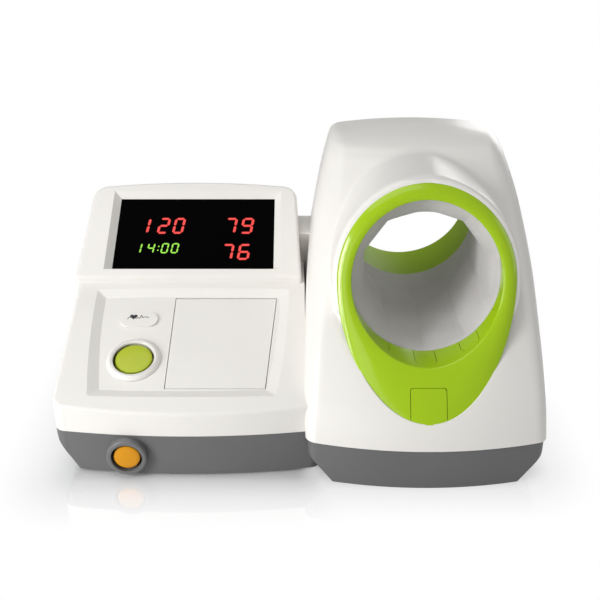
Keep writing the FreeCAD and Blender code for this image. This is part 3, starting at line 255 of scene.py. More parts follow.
WHITE = moulded("warm_white_plastic", (0.80, 0.778, 0.738), 0.34, coat=0.10, spread=0.012)
DARK = moulded("dark_grey_plastic", (0.128, 0.128, 0.130), 0.42, grain=0.00006, spread=0.05)
BOSS = moulded("boss_grey_plastic", (0.145, 0.145, 0.148), 0.40, spread=0.04)
LIME = moulded("lime_gloss_plastic", (0.35, 0.55, 0.004), 0.18, POLISHED, coat=0.4, specular=0.35)
LIME_SATIN = moulded("lime_satin_plastic", (0.36, 0.55, 0.006), 0.55, POLISHED, specular=0.2)
LEAF = moulded("button_green_plastic", (0.42, 0.50, 0.018), 0.28, POLISHED, coat=0.15, specular=0.35)
ORANGE = moulded("button_orange_plastic", (0.68, 0.285, 0.002), 0.26, POLISHED, coat=0.1, specular=0.25)
SCREEN = smoked("smoked_window")
CLOTH = woven("cuff_cloth", (0.58, 0.555, 0.56))
RED_LIT = lit("red_lit", (0.86, 0.05, 0.04), 1.0)
GREEN_LIT = lit("green_lit", (0.32, 0.80, 0.06), 0.9)
INK = moulded("print_ink", (0.02, 0.02, 0.022), 0.5, POLISHED)
STEEL = metal("bright_steel", (0.62, 0.62, 0.63), 0.24)
PAINTED = moulded("painted_steel", (0.38, 0.39, 0.41), 0.36, coat=0.2)
NATURAL = moulded("natural_plastic", (0.58, 0.58, 0.56), 0.45)
ACETAL = moulded("acetal", (0.84, 0.84, 0.80), 0.32)
BLACK = moulded("black_plastic", (0.028, 0.028, 0.030), 0.38)
BLADDER = rubber("bladder_rubber", (0.06, 0.06, 0.065))
FEET = rubber("foot_rubber", (0.03, 0.03, 0.03))
PLATEN = rubber("platen_rubber", (0.05, 0.05, 0.05), 0.6)
BOARD = circuit("board_lacquer")
PAPER = paper_look("thermal_paper")

LOOK_OF_SLOT = {
    "white_shell": WHITE, "dark_shell": DARK, "boss_grey": BOSS, "lime_ring": LIME, "button_green": LEAF,
    "button_orange": ORANGE, "screen_black": SCREEN, "cuff_fabric": CLOTH, "bladder_rubber": BLADDER,
    "foot_rubber": FEET, "platen_rubber": PLATEN, "drum_plastic": NATURAL, "gear_plastic": ACETAL,
    "steel": STEEL, "pump_metal": PAINTED, "board_green": BOARD, "part_black": BLACK, "paper": PAPER,
    "led_red": RED_LIT, "led_green": GREEN_LIT,
}
LOOK_OF_NODE = {"rear_ring": LIME_SATIN, "red_displays": BLACK, "green_display": BLACK}
SLOT_OF_NODE = {part["node"]: part["material_slot"] for part in frame["record"]["subparts"]}
for node_name, thing in frame["nodes"].items():
    thing.data.materials.clear()
    thing.data.materials.append(LOOK_OF_NODE.get(node_name, LOOK_OF_SLOT[SLOT_OF_NODE[node_name]]))


# ---------------------------------------------------------------- meshes from arrays

def mesh_object(name, points, faces, material, uv=None, smooth=True):
    """A mesh object from corner points in millimetres and faces of equal size; uv is per face corner."""
    mesh = bpy.data.meshes.new(name)
    faces = np.asarray(faces, np.int32)
    size = faces.shape[1]
    mesh.vertices.add(len(points))
    mesh.vertices.foreach_set("co", (np.asarray(points, float) * 0.001).astype(np.float32).ravel())
    mesh.loops.add(faces.size)
    mesh.loops.foreach_set("vertex_index", faces.ravel())
    mesh.polygons.add(len(faces))
    mesh.polygons.foreach_set("loop_start", np.arange(len(faces), dtype=np.int32) * size)
    mesh.polygons.foreach_set("use_smooth", np.full(len(faces), smooth))
    if uv is not None:
        mesh.uv_layers.new(name="UVMap").data.foreach_set("uv", np.asarray(uv, np.float32).ravel())
    mesh.update(calc_edges=True)
    mesh.validate()
    piece = bpy.data.objects.new(name, mesh)
    bpy.context.scene.collection.objects.link(piece)
    mesh.materials.append(material)
    return piece


def grid_piece(name, points, material, ring_rows=False, ring_columns=False, flip=False, uv=None):
    """A surface on a grid of points, rows by columns. A ring closes on itself; uv has one more line there."""
    rows, columns = points.shape[:2]
    index = np.arange(rows * columns).reshape(rows, columns)
    corner = index
    if ring_rows:
        corner = np.vstack([corner, corner[:1]])
    if ring_columns:
        corner = np.hstack([corner, corner[:, :1]])

    def quads(table):
        four = np.stack([table[:-1, :-1], table[1:, :-1], table[1:, 1:], table[:-1, 1:]], -1)
        four = four.reshape(-1, 4)
        return four[:, ::-1] if flip else four

    faces = quads(corner)
    loops = None
    if uv is not None:
        own = np.arange(corner.size).reshape(corner.shape)
        loops = uv.reshape(-1, 2)[quads(own)] * 0.001
    return mesh_object(name, points.reshape(-1, 3), faces, material, loops)


def on_body(piece, slot, *nodes, body="monitor"):
    """Rides a piece on a body and hides the solids that it stands for. The slot is not used."""
    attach(piece, body)
    if nodes:
        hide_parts(*nodes)
    return piece


def applied(piece):
    """Works a piece's modifiers into its mesh."""
    graph = bpy.context.evaluated_depsgraph_get()
    mesh = bpy.data.meshes.new_from_object(piece.evaluated_get(graph))
    piece.modifiers.clear()
    old = piece.data
    piece.data = mesh
    bpy.data.meshes.remove(old)
    return piece


def rotation_x(degrees):
    """The matrix of a turn about the X axis."""
    turn = math.radians(degrees)
    return np.array([[1, 0, 0], [0, math.cos(turn), -math.sin(turn)], [0, math.sin(turn), math.cos(turn)]])


class Plane:
    """A tilted plane of the console: points across it, up it and off it go to the object's frame."""

    def __init__(self, depth, z, degrees):
        self.origin = np.array([CONSOLE_X, depth - HALF_DEPTH, z])
        self.turn = rotation_x(degrees)

    def place(self, points):
        return np.asarray(points, float) @ self.turn.T + self.origin


DECK_ANGLE, HEAD_ANGLE = 20.3, 30.5
LIP_DEPTH, LIP_Z, DECK_LENGTH, HEAD_LIP = 25.5, 77.8, 191.8, 9.0
FOOT_DEPTH = LIP_DEPTH + DECK_LENGTH * math.cos(math.radians(DECK_ANGLE))
FOOT_Z = LIP_Z + DECK_LENGTH * math.sin(math.radians(DECK_ANGLE))
deck = Plane(LIP_DEPTH, LIP_Z, DECK_ANGLE)
head = Plane(FOOT_DEPTH, FOOT_Z + HEAD_LIP, HEAD_ANGLE)


def blended(distances, radius):
    """Rounded intersection: the largest of several distances, with a rounded edge of a given radius."""
    stack = np.stack(distances)
    lifted = np.maximum(stack + radius, 0.0)
    deep = np.minimum(stack.max(0) + radius, 0.0)
    return np.sqrt((lifted ** 2).sum(0)) - radius + deep


def joined(first, second, radius):
    """Smooth union: the smaller of two distances, filleted where they meet."""
    share = np.clip(0.5 + 0.5 * (second - first) / radius, 0.0, 1.0)
    return second + (first - second) * share - radius * share * (1.0 - share)


# ---------------------------------------------------------------- arm housing

# Share of the housing's rise, depth of the nose, half width in front and behind, size of the front corner.
# The first and the last row run the form on past its ends, where it is cut.
STATIONS = np.array([
    (-0.25, 0, 124.5, 129.5, 10), (0.000, 0, 124.5, 129.5, 10), (0.046, 4.5, 124.7, 129, 12),
    (0.098, 11, 125, 128, 14), (0.230, 36, 125.5, 124, 20), (0.381, 70, 125, 120, 26),
    (0.532, 103, 123, 115, 30), (0.683, 140, 118, 109, 32), (0.804, 171, 112, 103.5, 32),
    (0.890, 198, 105.5, 98.5, 30), (0.935, 214, 101.5, 95.5, 26), (0.966, 231, 98, 93, 22),
    (0.985, 253, 94.5, 90.5, 16), (1.000, 284, 90, 87, 8), (1.08, 400, 84, 81, 8)])
# Heights of the base's and the housing's top, lean of the rear, radius of the bowed front, crown of the top.
BASE_TOP, ARM_TOP, REAR_SET, BOW, CROWN = 49.0, 314.0, 50.0, 424.0, 0.0008
RIM_RADIUS, TONGUE, TUNNEL_RADIUS, COLLAR, COLLAR_END = 94.3, 32.8, 80.0, 97.5, 282.0
# Depth of the ring's face at the tunnel's lowest line, and its slopes: at the tunnel, tongue, brow and above.
MOUTH_LOW, MOUTH_ANGLE, TONGUE_SLOPE, BROW_SLOPE, TOP_SLOPE = 44.0, 65.4, 0.73, 0.66, 20.0 / 9.0
REAR_EDGE, TOP_EDGE, COLLAR_LIP, COLLAR_FOOT = 9.0, 5.0, 4.0, 5.0
# Share of a station's corner taken as its radius, and what brings a gap measured across to a true distance.
CORNER_ROUND, SIDE_LEAN = 0.8, 0.985
# Depth of the point inside, on the tunnel's axis, from which the skin is found.
MIDDLE_DEPTH = 205.0
# Height in metres at which the skin ends, just over the dark base, and the length of the scraps merged there.
CUT, SCRAP = (BASE_TOP + 0.5) * 0.001, 0.0009


def smooth_table(at, columns):
    """Reads the stations at many heights with a cubic through four neighbours."""
    key = STATIONS[:, 0]
    spot = np.clip(np.searchsorted(key, at) - 1, 0, len(key) - 2)
    low, high = key[spot], key[spot + 1]
    t = np.clip((at - low) / (high - low), 0.0, 1.0)
    out = []
    for column in columns:
        value = STATIONS[:, column]
        slope = np.gradient(value, key)
        y0, y1 = value[spot], value[spot + 1]
        m0, m1 = slope[spot] * (high - low), slope[spot + 1] * (high - low)
        out.append((2 * t ** 3 - 3 * t ** 2 + 1) * y0 + (t ** 3 - 2 * t ** 2 + t) * m0
                   + (3 * t ** 2 - 2 * t ** 3) * y1 + (t ** 3 - t ** 2) * m1)
    return out


def mouth_depth(z):
    """Depth of the ring's front on its middle line at a height: sloping tongue, steep mouth, rounded top."""
    low_z = TUNNEL_Z - TUNNEL_RADIUS
    steep = math.tan(math.radians(MOUTH_ANGLE))
    brow = RIM_RADIUS - TUNNEL_RADIUS
    reach = brow + TONGUE
    across = 2 * TUNNEL_RADIUS
    knots_z = np.array([low_z - reach, low_z, low_z + across, low_z + across + brow])
    knots_d = np.array([MOUTH_LOW - reach * TONGUE_SLOPE, MOUTH_LOW, MOUTH_LOW + across / steep,
                        MOUTH_LOW + across / steep + brow * BROW_SLOPE])
    fine_z, fine_d = natural_curve(knots_z, knots_d)
    below = knots_d[0] + (z - knots_z[0]) * (fine_d[1] - fine_d[0]) / (fine_z[1] - fine_z[0])
    above = knots_d[3] + (z - knots_z[3]) * TOP_SLOPE
    middle = np.interp(z, fine_z, fine_d)
    return np.where(z < knots_z[0], below, np.where(z > knots_z[3], above, middle))


def natural_curve(x, y, count=400):
    """Cubic curve through a few points with straight ends, sampled finely along the length of its chords."""
    chord = np.concatenate([[0.0], np.cumsum(np.hypot(np.diff(x), np.diff(y)))])
    size = len(chord)
    step = np.diff(chord)
    matrix = np.zeros((size, size))
    matrix[0, 0] = matrix[-1, -1] = 1.0
    for row in range(1, size - 1):
        matrix[row, row - 1], matrix[row, row + 1] = step[row - 1], step[row]
        matrix[row, row] = 2 * (step[row - 1] + step[row])
    at = np.linspace(0.0, chord[-1], count)
    spot = np.clip(np.searchsorted(chord, at) - 1, 0, size - 2)
    result = []
    for values in (x, y):
        right = np.zeros(size)
        right[1:-1] = 6 * (np.diff(values)[1:] / step[1:] - np.diff(values)[:-1] / step[:-1])
        bend = np.linalg.solve(matrix, right)
        width, a, b = step[spot], chord[spot + 1] - at, at - chord[spot]
        result.append((bend[spot] * a ** 3 + bend[spot + 1] * b ** 3) / (6 * width)
                      + (values[spot] / width - bend[spot] * width / 6) * a
                      + (values[spot + 1] / width - bend[spot + 1] * width / 6) * b)
    return result


def rim_radius(angle, grow=0.0):
    """The ring's outline round the tunnel: a half circle above, a longer half ellipse below."""
    short = RIM_RADIUS + grow
    tall = short + TONGUE
    ellipse = short * tall / np.sqrt((tall * np.cos(angle)) ** 2 + (short * np.sin(angle)) ** 2)
    return np.where(np.sin(angle) < 0, ellipse, short)


def housing_distance(x, depth, z):
    """Distance to the arm housing with its collar: rounded body, rounded collar, softly joined."""
    share = (z - BASE_TOP) / (ARM_TOP - BASE_TOP)
    nose, front_half, rear_half = smooth_table(share, (1, 2, 3))
    rear = 2 * HALF_DEPTH - share * REAR_SET
    lean = math.cos(math.atan(REAR_SET / (ARM_TOP - BASE_TOP)))
    bow = nose + x ** 2 / (2 * BOW) - depth
    slope = np.clip(np.gradient(STATIONS[:, 1], STATIONS[:, 0] * (ARM_TOP - BASE_TOP)), 0.0, 3.0)
    rise = np.interp(share, STATIONS[:, 0], slope)
    bow = bow / np.sqrt(1 + (x / BOW) ** 2 + rise ** 2)
    start = nose + front_half ** 2 / (2 * BOW)
    along = np.clip((depth - start) / (rear - start), 0.0, 1.0)
    side = (np.abs(x) - (front_half + (rear_half - front_half) * along)) * SIDE_LEAN
    radius = np.interp(share, STATIONS[:, 0], STATIONS[:, 4]) * CORNER_ROUND
    upright = blended([bow, side], radius)
    behind = (depth - rear) * lean
    body = blended([upright, behind], REAR_EDGE)
    body = blended([body, z - ARM_TOP + CROWN * x ** 2], TOP_EDGE)
    ring = np.hypot(x, z - TUNNEL_Z) - COLLAR
    behind_ring = 1.0
    mouth = mouth_depth(z) + x ** 2 / (2 * BOW) - depth + behind_ring
    mouth = mouth * math.sin(math.radians(MOUTH_ANGLE))
    collar = np.maximum(blended([ring, mouth], COLLAR_LIP), depth - COLLAR_END)
    return joined(body, collar, COLLAR_FOOT)


def find_surface(start, direction, reach):
    """First crossing along straight lines from inside points, by halving."""
    near = np.zeros(direction.shape[:-1])
    far = np.full(direction.shape[:-1], reach)
    for _ in range(34):
        middle = 0.5 * (near + far)
        point = start + direction * middle[..., None]
        outside = housing_distance(point[..., 0], point[..., 1], point[..., 2]) > 0
        far = np.where(outside, middle, far)
        near = np.where(outside, near, middle)
    return start + direction * (0.5 * (near + far))[..., None]


def clustered(count, centres, width, gain):
    """Angles round the tunnel, closer together near the given ones, where the housing's corners are."""
    fine = np.linspace(-math.pi / 2, 3 * math.pi / 2, 4001)
    density = np.ones_like(fine)
    for centre in centres:
        density += gain * np.exp(-((fine - centre) / width) ** 2)
    total = np.concatenate([[0.0], np.cumsum(0.5 * (density[1:] + density[:-1]))])
    return np.interp(np.arange(count) / count * total[-1], total, fine)


def arm_skin():
    """The housing's outside. Rows go round the tunnel, columns from the ring's rim over it to the rear.

    Each row is the outline in a half plane through the tunnel's axis, found from one point inside. Its points
    lie closer together where it bends.
    """
    rows, columns, fine = 300, 138, 900
    top_corner, foot_corner = 0.92, -0.60
    corners = (top_corner, math.pi - top_corner, foot_corner, math.pi - foot_corner)
    angle = clustered(rows, corners, width=0.10, gain=2.2)
    radial = np.stack([np.cos(angle), np.zeros(rows), np.sin(angle)], -1)
    rim = rim_radius(angle, 0.35)
    centre = np.array([0.0, MIDDLE_DEPTH, TUNNEL_Z])
    lip_x, lip_z = rim * np.cos(angle), TUNNEL_Z + rim * np.sin(angle)
    low, high = np.full(rows, -60.0), np.full(rows, MIDDLE_DEPTH)
    for _ in range(40):
        middle = 0.5 * (low + high)
        solid = housing_distance(lip_x, middle, lip_z) < 0
        high = np.where(solid, middle, high)
        low = np.where(solid, low, middle)
    first = np.arctan2(rim, MIDDLE_DEPTH - high)
    rear_radius, rear_share = 84.0, 0.56
    last = math.pi - np.arctan2(rear_radius, 2 * HALF_DEPTH - REAR_SET * rear_share - MIDDLE_DEPTH)
    share = np.linspace(0.0, 1.0, fine)
    sweep = first[:, None] + (last - first[:, None]) * share[None]
    forward = np.array([0.0, -1.0, 0.0])
    aim = radial[:, None] * np.sin(sweep)[..., None] + forward * np.cos(sweep)[..., None]
    outline = find_surface(centre, aim, reach=420.0)
    step = np.linalg.norm(np.diff(outline, axis=1), axis=-1)
    tangent = np.diff(outline, axis=1) / step[..., None]
    bend = np.zeros((rows, fine - 1))
    bend[:, 1:] = np.arccos(np.clip((tangent[:, 1:] * tangent[:, :-1]).sum(-1), -1, 1))
    smear = np.exp(-np.linspace(-2, 2, 21) ** 2)
    bend = np.stack([np.convolve(row, smear / smear.sum(), "same") for row in bend])
    plain_step, pull_of_bends = 5.0, 7.0
    weight = step / plain_step + bend * pull_of_bends
    weight = weight + 0.001 * weight.sum(1, keepdims=True)
    run = np.concatenate([np.zeros((rows, 1)), np.cumsum(weight, 1)], 1)
    even = np.linspace(0.0, 1.0, columns)
    grid = np.empty((rows, columns, 3))
    for row in range(rows):
        for axis in range(3):
            grid[row, :, axis] = np.interp(even * run[row, -1], run[row], outline[row, :, axis])
    front_return, rear_return = 4.5, -4.0
    inward = grid[:, :1] + np.array([0.0, front_return, 0.0])
    back = grid[:, -1:] + np.array([0.0, rear_return, 0.0])
    grid = np.concatenate([inward, grid, back], 1)
    grid[..., 0] += ARM_X
    grid[..., 1] -= HALF_DEPTH
    piece = grid_piece("arm_skin", grid, WHITE, ring_rows=True)
    form = bmesh.new()
    form.from_mesh(piece.data)
    bmesh.ops.bisect_plane(form, geom=form.verts[:] + form.edges[:] + form.faces[:],
                           plane_co=(0, 0, CUT), plane_no=(0, 0, -1), clear_outer=True)
    lowest = [vertex for vertex in form.verts if vertex.co.z < CUT + SCRAP]
    bmesh.ops.remove_doubles(form, verts=lowest, dist=SCRAP)
    for vertex in form.verts:
        if vertex.is_boundary and vertex.co.z < CUT + SCRAP + 0.0001:
            vertex.co.z = CUT
    form.to_mesh(piece.data)
    form.free()
    return piece


arm_shell = arm_skin()
wall = arm_shell.modifiers.new("wall", "SOLIDIFY")
wall.thickness, wall.offset = 0.0022, -1.0
arm_shell = applied(arm_shell)
arm_shell.data.set_sharp_from_angle(angle=math.radians(40.0))
on_body(arm_shell, "white_shell", "arm_housing")


def link_piece():
    """The plain cover between the head and the arm housing: a bevelled block whose ends run into both."""
    left, right, front, rear, low, high = -3.0, 24.0, 89.0, 151.0, 92.0, 182.0
    points = [(x, y, z) for x in (left, right) for y in (front, rear) for z in (low, high)]
    faces = [(0, 1, 3, 2), (4, 6, 7, 5), (0, 4, 5, 1), (2, 3, 7, 6), (0, 2, 6, 4), (1, 5, 7, 3)]
    piece = mesh_object("link_block", points, faces, WHITE, smooth=False)
    bevel = piece.modifiers.new("round", "BEVEL")
    bevel.width, bevel.segments = 0.002, 4
    return piece


on_body(applied(link_piece()), "white_shell", "link_cover")


# ---------------------------------------------------------------- cuff sleeve

def ease(value, low, high):
    """Smooth step from 0 at low to 1 at high."""
    t = np.clip((value - low) / (high - low), 0.0, 1.0)
    return t * t * (3.0 - 2.0 * t)


def softened(over, radius):
    """The positive part of a length, with a rounded start."""
    return 0.5 * (over + np.sqrt(over ** 2 + radius ** 2))


def cuff_sleeve():
    """The cloth lining of the tunnel: a ten-sided throat that is narrowest a third of the way in.

    Rows go round the tunnel. Columns run from the front hem along the inside to the rear and back outside.
    The radius falls from the ring's own to the throat's and rises again; flats lie between the ten clips.
    """
    rows, sides = 360, 10
    hem_depth, throat_depth, flare_depth, rear_end = 83.4, 146.0, 170.0, 281.6
    hem_radius, throat_narrowing, wall_radius, outer_radius = 80.4, 11.9, 81.0, 82.3
    mean_radius = 74.0
    angle = np.linspace(-math.pi / 2, 1.5 * math.pi, rows, endpoint=False)
    from_foot = angle + math.pi / 2
    lean = math.tan(math.radians(15.0))
    front = hem_depth + TUNNEL_RADIUS * (1.0 + np.sin(angle)) * lean
    t = np.concatenate([np.linspace(0.0, 0.14, 12)[:-1], np.linspace(0.14, 1.0, 84)])
    depth = front[:, None] + (rear_end - front[:, None]) * t
    into = np.clip((depth - front[:, None]) / (throat_depth - front[:, None]), 0.0, 1.0)
    narrow = np.sin(into * math.pi / 2) ** 0.9
    away = ease(depth, flare_depth, rear_end)
    narrow = narrow * (1.0 - away)
    radius = hem_radius - throat_narrowing * narrow
    folded = from_foot % (2 * math.pi / sides) - math.pi / sides
    flat = math.cos(math.pi / sides) / np.cos(folded)
    corner = 1.0 + (flat[:, None] - 1.0) * 0.85 * np.minimum(1.0, narrow * 1.3 + 0.1 * (1 - away))
    slack = 0.5 * np.cos(sides * from_foot[:, None] + 0.3) * np.sin(math.pi * into) ** 2
    ripple = 0.35 * np.sin(3 * angle[:, None] + depth * 0.055) * narrow
    radius = radius * corner + slack + ripple
    hem_roll = 1 - np.exp(-((depth - front[:, None]) / 1.2) ** 2)
    radius = radius - 0.9 * hem_roll * (1 - narrow)
    drop_z, shift_x = -10.0 * narrow, 2.6 * narrow
    x = radius * np.cos(angle)[:, None] + shift_x
    level = radius * np.sin(angle)[:, None]
    ceiling = level.max(0) - 2.8 * narrow
    z = level - softened(level - ceiling, 1.2) + drop_z
    spread = np.hypot(x, z)
    pull = np.where(spread > wall_radius, wall_radius / spread, 1.0)
    inner = np.stack([x * pull, depth, z * pull], -1)
    outer_depth = front[:, None] + (rear_end - front[:, None]) * np.array([1.0, 0.5, 0.0])
    outer_x, outer_z = (outer_radius * axis(angle)[:, None] * np.ones(3) for axis in (np.cos, np.sin))
    outer = np.stack([outer_x, outer_depth + np.array([0.0, 0.0, 0.3]), outer_z], -1)
    grid = np.concatenate([inner, outer], 1)
    steps = np.linalg.norm(np.diff(grid, axis=1), axis=-1)
    run = np.concatenate([np.zeros((rows, 1)), np.cumsum(steps, 1)], 1)
    run = np.concatenate([run, run[:, -1:] + 3.0], 1)
    run = np.vstack([run, run[:1]])
    arc = np.linspace(0.0, 2 * math.pi * mean_radius, rows + 1)[:, None] * np.ones(run.shape[1])
    grid = grid + np.array([ARM_X, -HALF_DEPTH, TUNNEL_Z])
    return grid_piece("cuff_sleeve", grid, CLOTH, ring_rows=True, ring_columns=True, flip=True,
                      uv=np.stack([arc, run], -1))


on_body(cuff_sleeve(), "cuff_fabric", "cuff_cover")


# ---------------------------------------------------------------- ring's glossy face and its flap

# How far the glossy face stands before the solid's at its edges, more in its middle, and lies behind it.
RING_RISE, RING_SWELL, RING_BACK = 1.2, 2.3, 0.5
RING_INNER, RING_TRIM, INNER_ROUND, OUTER_ROUND = 78.9, -0.15, 1.1, 1.0
FLAP_HALF, FLAP_TOP, FLAP_CORNER, FLAP_GAP = 18.5, 106.0, 3.0, 0.6


def rounding(inset, radius):
    """How far a rounded edge drops at a distance in from the edge."""
    short = np.clip(radius - inset, 0.0, radius)
    return radius - np.sqrt(radius ** 2 - short ** 2)


def flap_edge(x, z, grow):
    """Distance outside the flap's outline, which has two rounded upper corners and runs out below."""
    across = np.abs(x) - (FLAP_HALF + grow - FLAP_CORNER)
    above = z - (FLAP_TOP + grow - FLAP_CORNER)
    return (np.hypot(np.maximum(across, 0.0), np.maximum(above, 0.0))
            + np.minimum(np.maximum(across, above), 0.0) - FLAP_CORNER)


def ring_depth(x, z):
    """Depth of the ring's glossy face: the solid's face, swelling between a rounded inner and outer edge."""
    radius = np.hypot(x, z - TUNNEL_Z)
    rim = rim_radius(np.arctan2(z - TUNNEL_Z, x), RING_TRIM)
    share = np.clip((radius - RING_INNER) / (rim - RING_INNER), 0.0, 1.0)
    rise = RING_RISE + RING_SWELL * (1.0 - (2.0 * share - 1.0) ** 2)
    rise = rise - rounding(radius - RING_INNER, INNER_ROUND) - rounding(rim - radius, OUTER_ROUND)
    return mouth_depth(z) + x ** 2 / (2 * BOW) - rise


def flap_outline(grow, spacing=0.8):
    """Points along the flap's outline, up one side, over the top and down the other."""
    half, top = FLAP_HALF + grow, FLAP_TOP + grow
    corner = np.linspace(0.0, math.pi / 2, 9)
    left = np.column_stack([-half + FLAP_CORNER - FLAP_CORNER * np.cos(corner),
                            top - FLAP_CORNER + FLAP_CORNER * np.sin(corner)])
    low = TUNNEL_Z - RIM_RADIUS - TONGUE - 6.0
    side = np.arange(low, top - FLAP_CORNER - spacing / 2, spacing)
    level = np.arange(-half + FLAP_CORNER + spacing / 2, half - FLAP_CORNER, spacing)
    up = np.column_stack([np.full(len(side), -half), side])
    over = np.column_stack([level, np.full(len(level), top)])
    right = (left * [-1, 1])[::-1]
    down = np.column_stack([np.full(len(side), half), side[::-1]])
    return np.concatenate([up, left, over, right, down])


def sheet_piece(name, lines, spots, inside):
    """A closed piece of the ring's face: triangles between outlines and spots, kept where inside() says so.

    The front lies on the swelling face and the back behind the solid's; walls close it along its border.
    """
    points, edges = [], []
    for line, closed in lines:
        first = sum(len(part) for part in points)
        count = len(line)
        sides = range(count if closed else count - 1)
        edges += [(first + here, first + (here + 1) % count) for here in sides]
        points.append(line)
    points = np.concatenate(points + [spots])
    net = delaunay_2d_cdt([Vector(point) for point in points], edges, [], 0, 1e-4)
    flat = np.array([tuple(point) for point in net[0]])
    faces = np.array([face for face in net[2] if len(face) == 3])
    middle = flat[faces].mean(1)
    faces = faces[inside(middle[:, 0], middle[:, 1])]
    used, renumbered = np.unique(faces, return_inverse=True)
    flat, faces = flat[used], renumbered.reshape(-1, 3)
    one, two, three = (flat[faces[:, corner]] for corner in range(3))
    first, second = two - one, three - one
    turn = first[:, 0] * second[:, 1] - first[:, 1] * second[:, 0]
    faces[turn < 0] = faces[turn < 0][:, ::-1]
    count = len(flat)
    front = np.column_stack([flat[:, 0], ring_depth(*flat.T), flat[:, 1]])
    behind = mouth_depth(flat[:, 1]) + flat[:, 0] ** 2 / (2 * BOW) + RING_BACK
    rear = np.column_stack([flat[:, 0], behind, flat[:, 1]])
    pairs = np.concatenate([faces[:, [0, 1]], faces[:, [1, 2]], faces[:, [2, 0]]])
    known = {tuple(pair) for pair in pairs}
    border = np.array([pair for pair in pairs if (pair[1], pair[0]) not in known])
    walls = np.concatenate([np.column_stack([border[:, 0], border[:, 1] + count, border[:, 1]]),
                            np.column_stack([border[:, 0], border[:, 0] + count, border[:, 1] + count])])
    solid = np.concatenate([front, rear]) + np.array([ARM_X, -HALF_DEPTH, 0.0])
    piece = mesh_object(name, solid, np.concatenate([faces, faces[:, ::-1] + count, walls]), LIME)
    piece.data.set_sharp_from_angle(angle=math.radians(50.0))
    return piece


def inside_rim(x, z):
    """True within the ring's outer edge."""
    return np.hypot(x, z - TUNNEL_Z) < rim_radius(np.arctan2(z - TUNNEL_Z, x), RING_TRIM)


def on_ring(x, z):
    """The ring's own face: between its inner edge and its rim, outside the flap's hole."""
    off_flap = flap_edge(x, z, FLAP_GAP) > 0
    return (np.hypot(x, z - TUNNEL_Z) > RING_INNER - 0.02) & off_flap & inside_rim(x, z)


def on_flap(x, z):
    """The flap's own face: inside its outline, down to the rim."""
    return (flap_edge(x, z, 0.0) < 0) & inside_rim(x, z)


def ring_faces():
    """The glossy ring and, in its own body, the flap that is set into the ring's tongue."""
    turn = np.linspace(-math.pi, math.pi, 540, endpoint=False)
    rim = rim_radius(turn, RING_TRIM)
    near, band = np.array([0.1, 0.25, 0.5, 0.8, 1.2]), 1.8
    share = np.linspace(0.0, 1.0, 11)[1:-1]
    outer = rim[:, None]
    spans = np.concatenate([RING_INNER + near + 0 * outer, outer - near,
                            (RING_INNER + band) + (outer - band - RING_INNER - band) * share], 1)
    spots = np.column_stack([(spans * np.cos(turn)[:, None]).ravel(),
                             TUNNEL_Z + (spans * np.sin(turn)[:, None]).ravel()])
    circle = np.column_stack([RING_INNER * np.cos(turn), TUNNEL_Z + RING_INNER * np.sin(turn)])
    egg = np.column_stack([rim * np.cos(turn), TUNNEL_Z + rim * np.sin(turn)])
    clear = 0.35
    outside_hole = spots[flap_edge(spots[:, 0], spots[:, 1], FLAP_GAP) > clear]
    borders = [(circle, True), (egg, True), (flap_outline(FLAP_GAP), False)]
    on_body(sheet_piece("ring_face", borders, outside_hole, on_ring), "lime_ring")
    below = egg[flap_edge(egg[:, 0], egg[:, 1], 1.0) < 0]
    below = below[np.argsort(below[:, 0])]
    inside_flap = spots[flap_edge(spots[:, 0], spots[:, 1], 0.0) < -clear]
    borders = [(flap_outline(0.0), False), (below, False)]
    on_body(sheet_piece("flap_face", borders, inside_flap, on_flap), "lime_ring", body="ring_latch")


ring_faces()


# ---------------------------------------------------------------- turned buttons and rings

def rounded_path(corners, steps=6):
    """A profile through corners given as (radius, height, rounding): each corner becomes a small arc."""
    points = []
    for spot, (r, h, round_by) in enumerate(corners):
        here = np.array([r, h], float)
        if round_by <= 0 or spot in (0, len(corners) - 1):
            points.append(here[None])
            continue
        before = np.array(corners[spot - 1][:2], float) - here
        after = np.array(corners[spot + 1][:2], float) - here
        before, after = before / np.linalg.norm(before), after / np.linalg.norm(after)
        t = np.linspace(0.0, 1.0, steps)[:, None]
        start, end = here + before * round_by, here + after * round_by
        points.append((1 - t) ** 2 * start + 2 * t * (1 - t) * here + t ** 2 * end)
    return np.concatenate(points)


def turned(name, corners, material, place, closed=False):
    """A profile of radius and height carried round the local Z axis; place puts local points in the object.

    A closed profile comes back to its first corner.
    """
    count = 96
    path = rounded_path(corners)
    if closed:
        path = path[:-1]
    turn = np.linspace(0.0, 2 * math.pi, count, endpoint=False)
    grid = np.stack([np.cos(turn)[:, None] * path[:, 0], np.sin(turn)[:, None] * path[:, 0],
                     np.ones(count)[:, None] * path[:, 1]], -1)
    return grid_piece(name, place(grid), material, ring_rows=True, ring_columns=closed)


# Middle of the start button and of the pill on the deck, and the printed face of the pill below the deck.
BUTTON_U, BUTTON_V, PILL_U, PILL_V, PILL_FACE = -51.1, 77.0, -53.2, 139.5, -1.97
STOP_X, STOP_DEPTH, STOP_Z = -181.6, 20.5, 27.0


def at_button(points):
    """Local Z points out of the deck."""
    return deck.place(points + np.array([BUTTON_U, BUTTON_V, 0.0]))


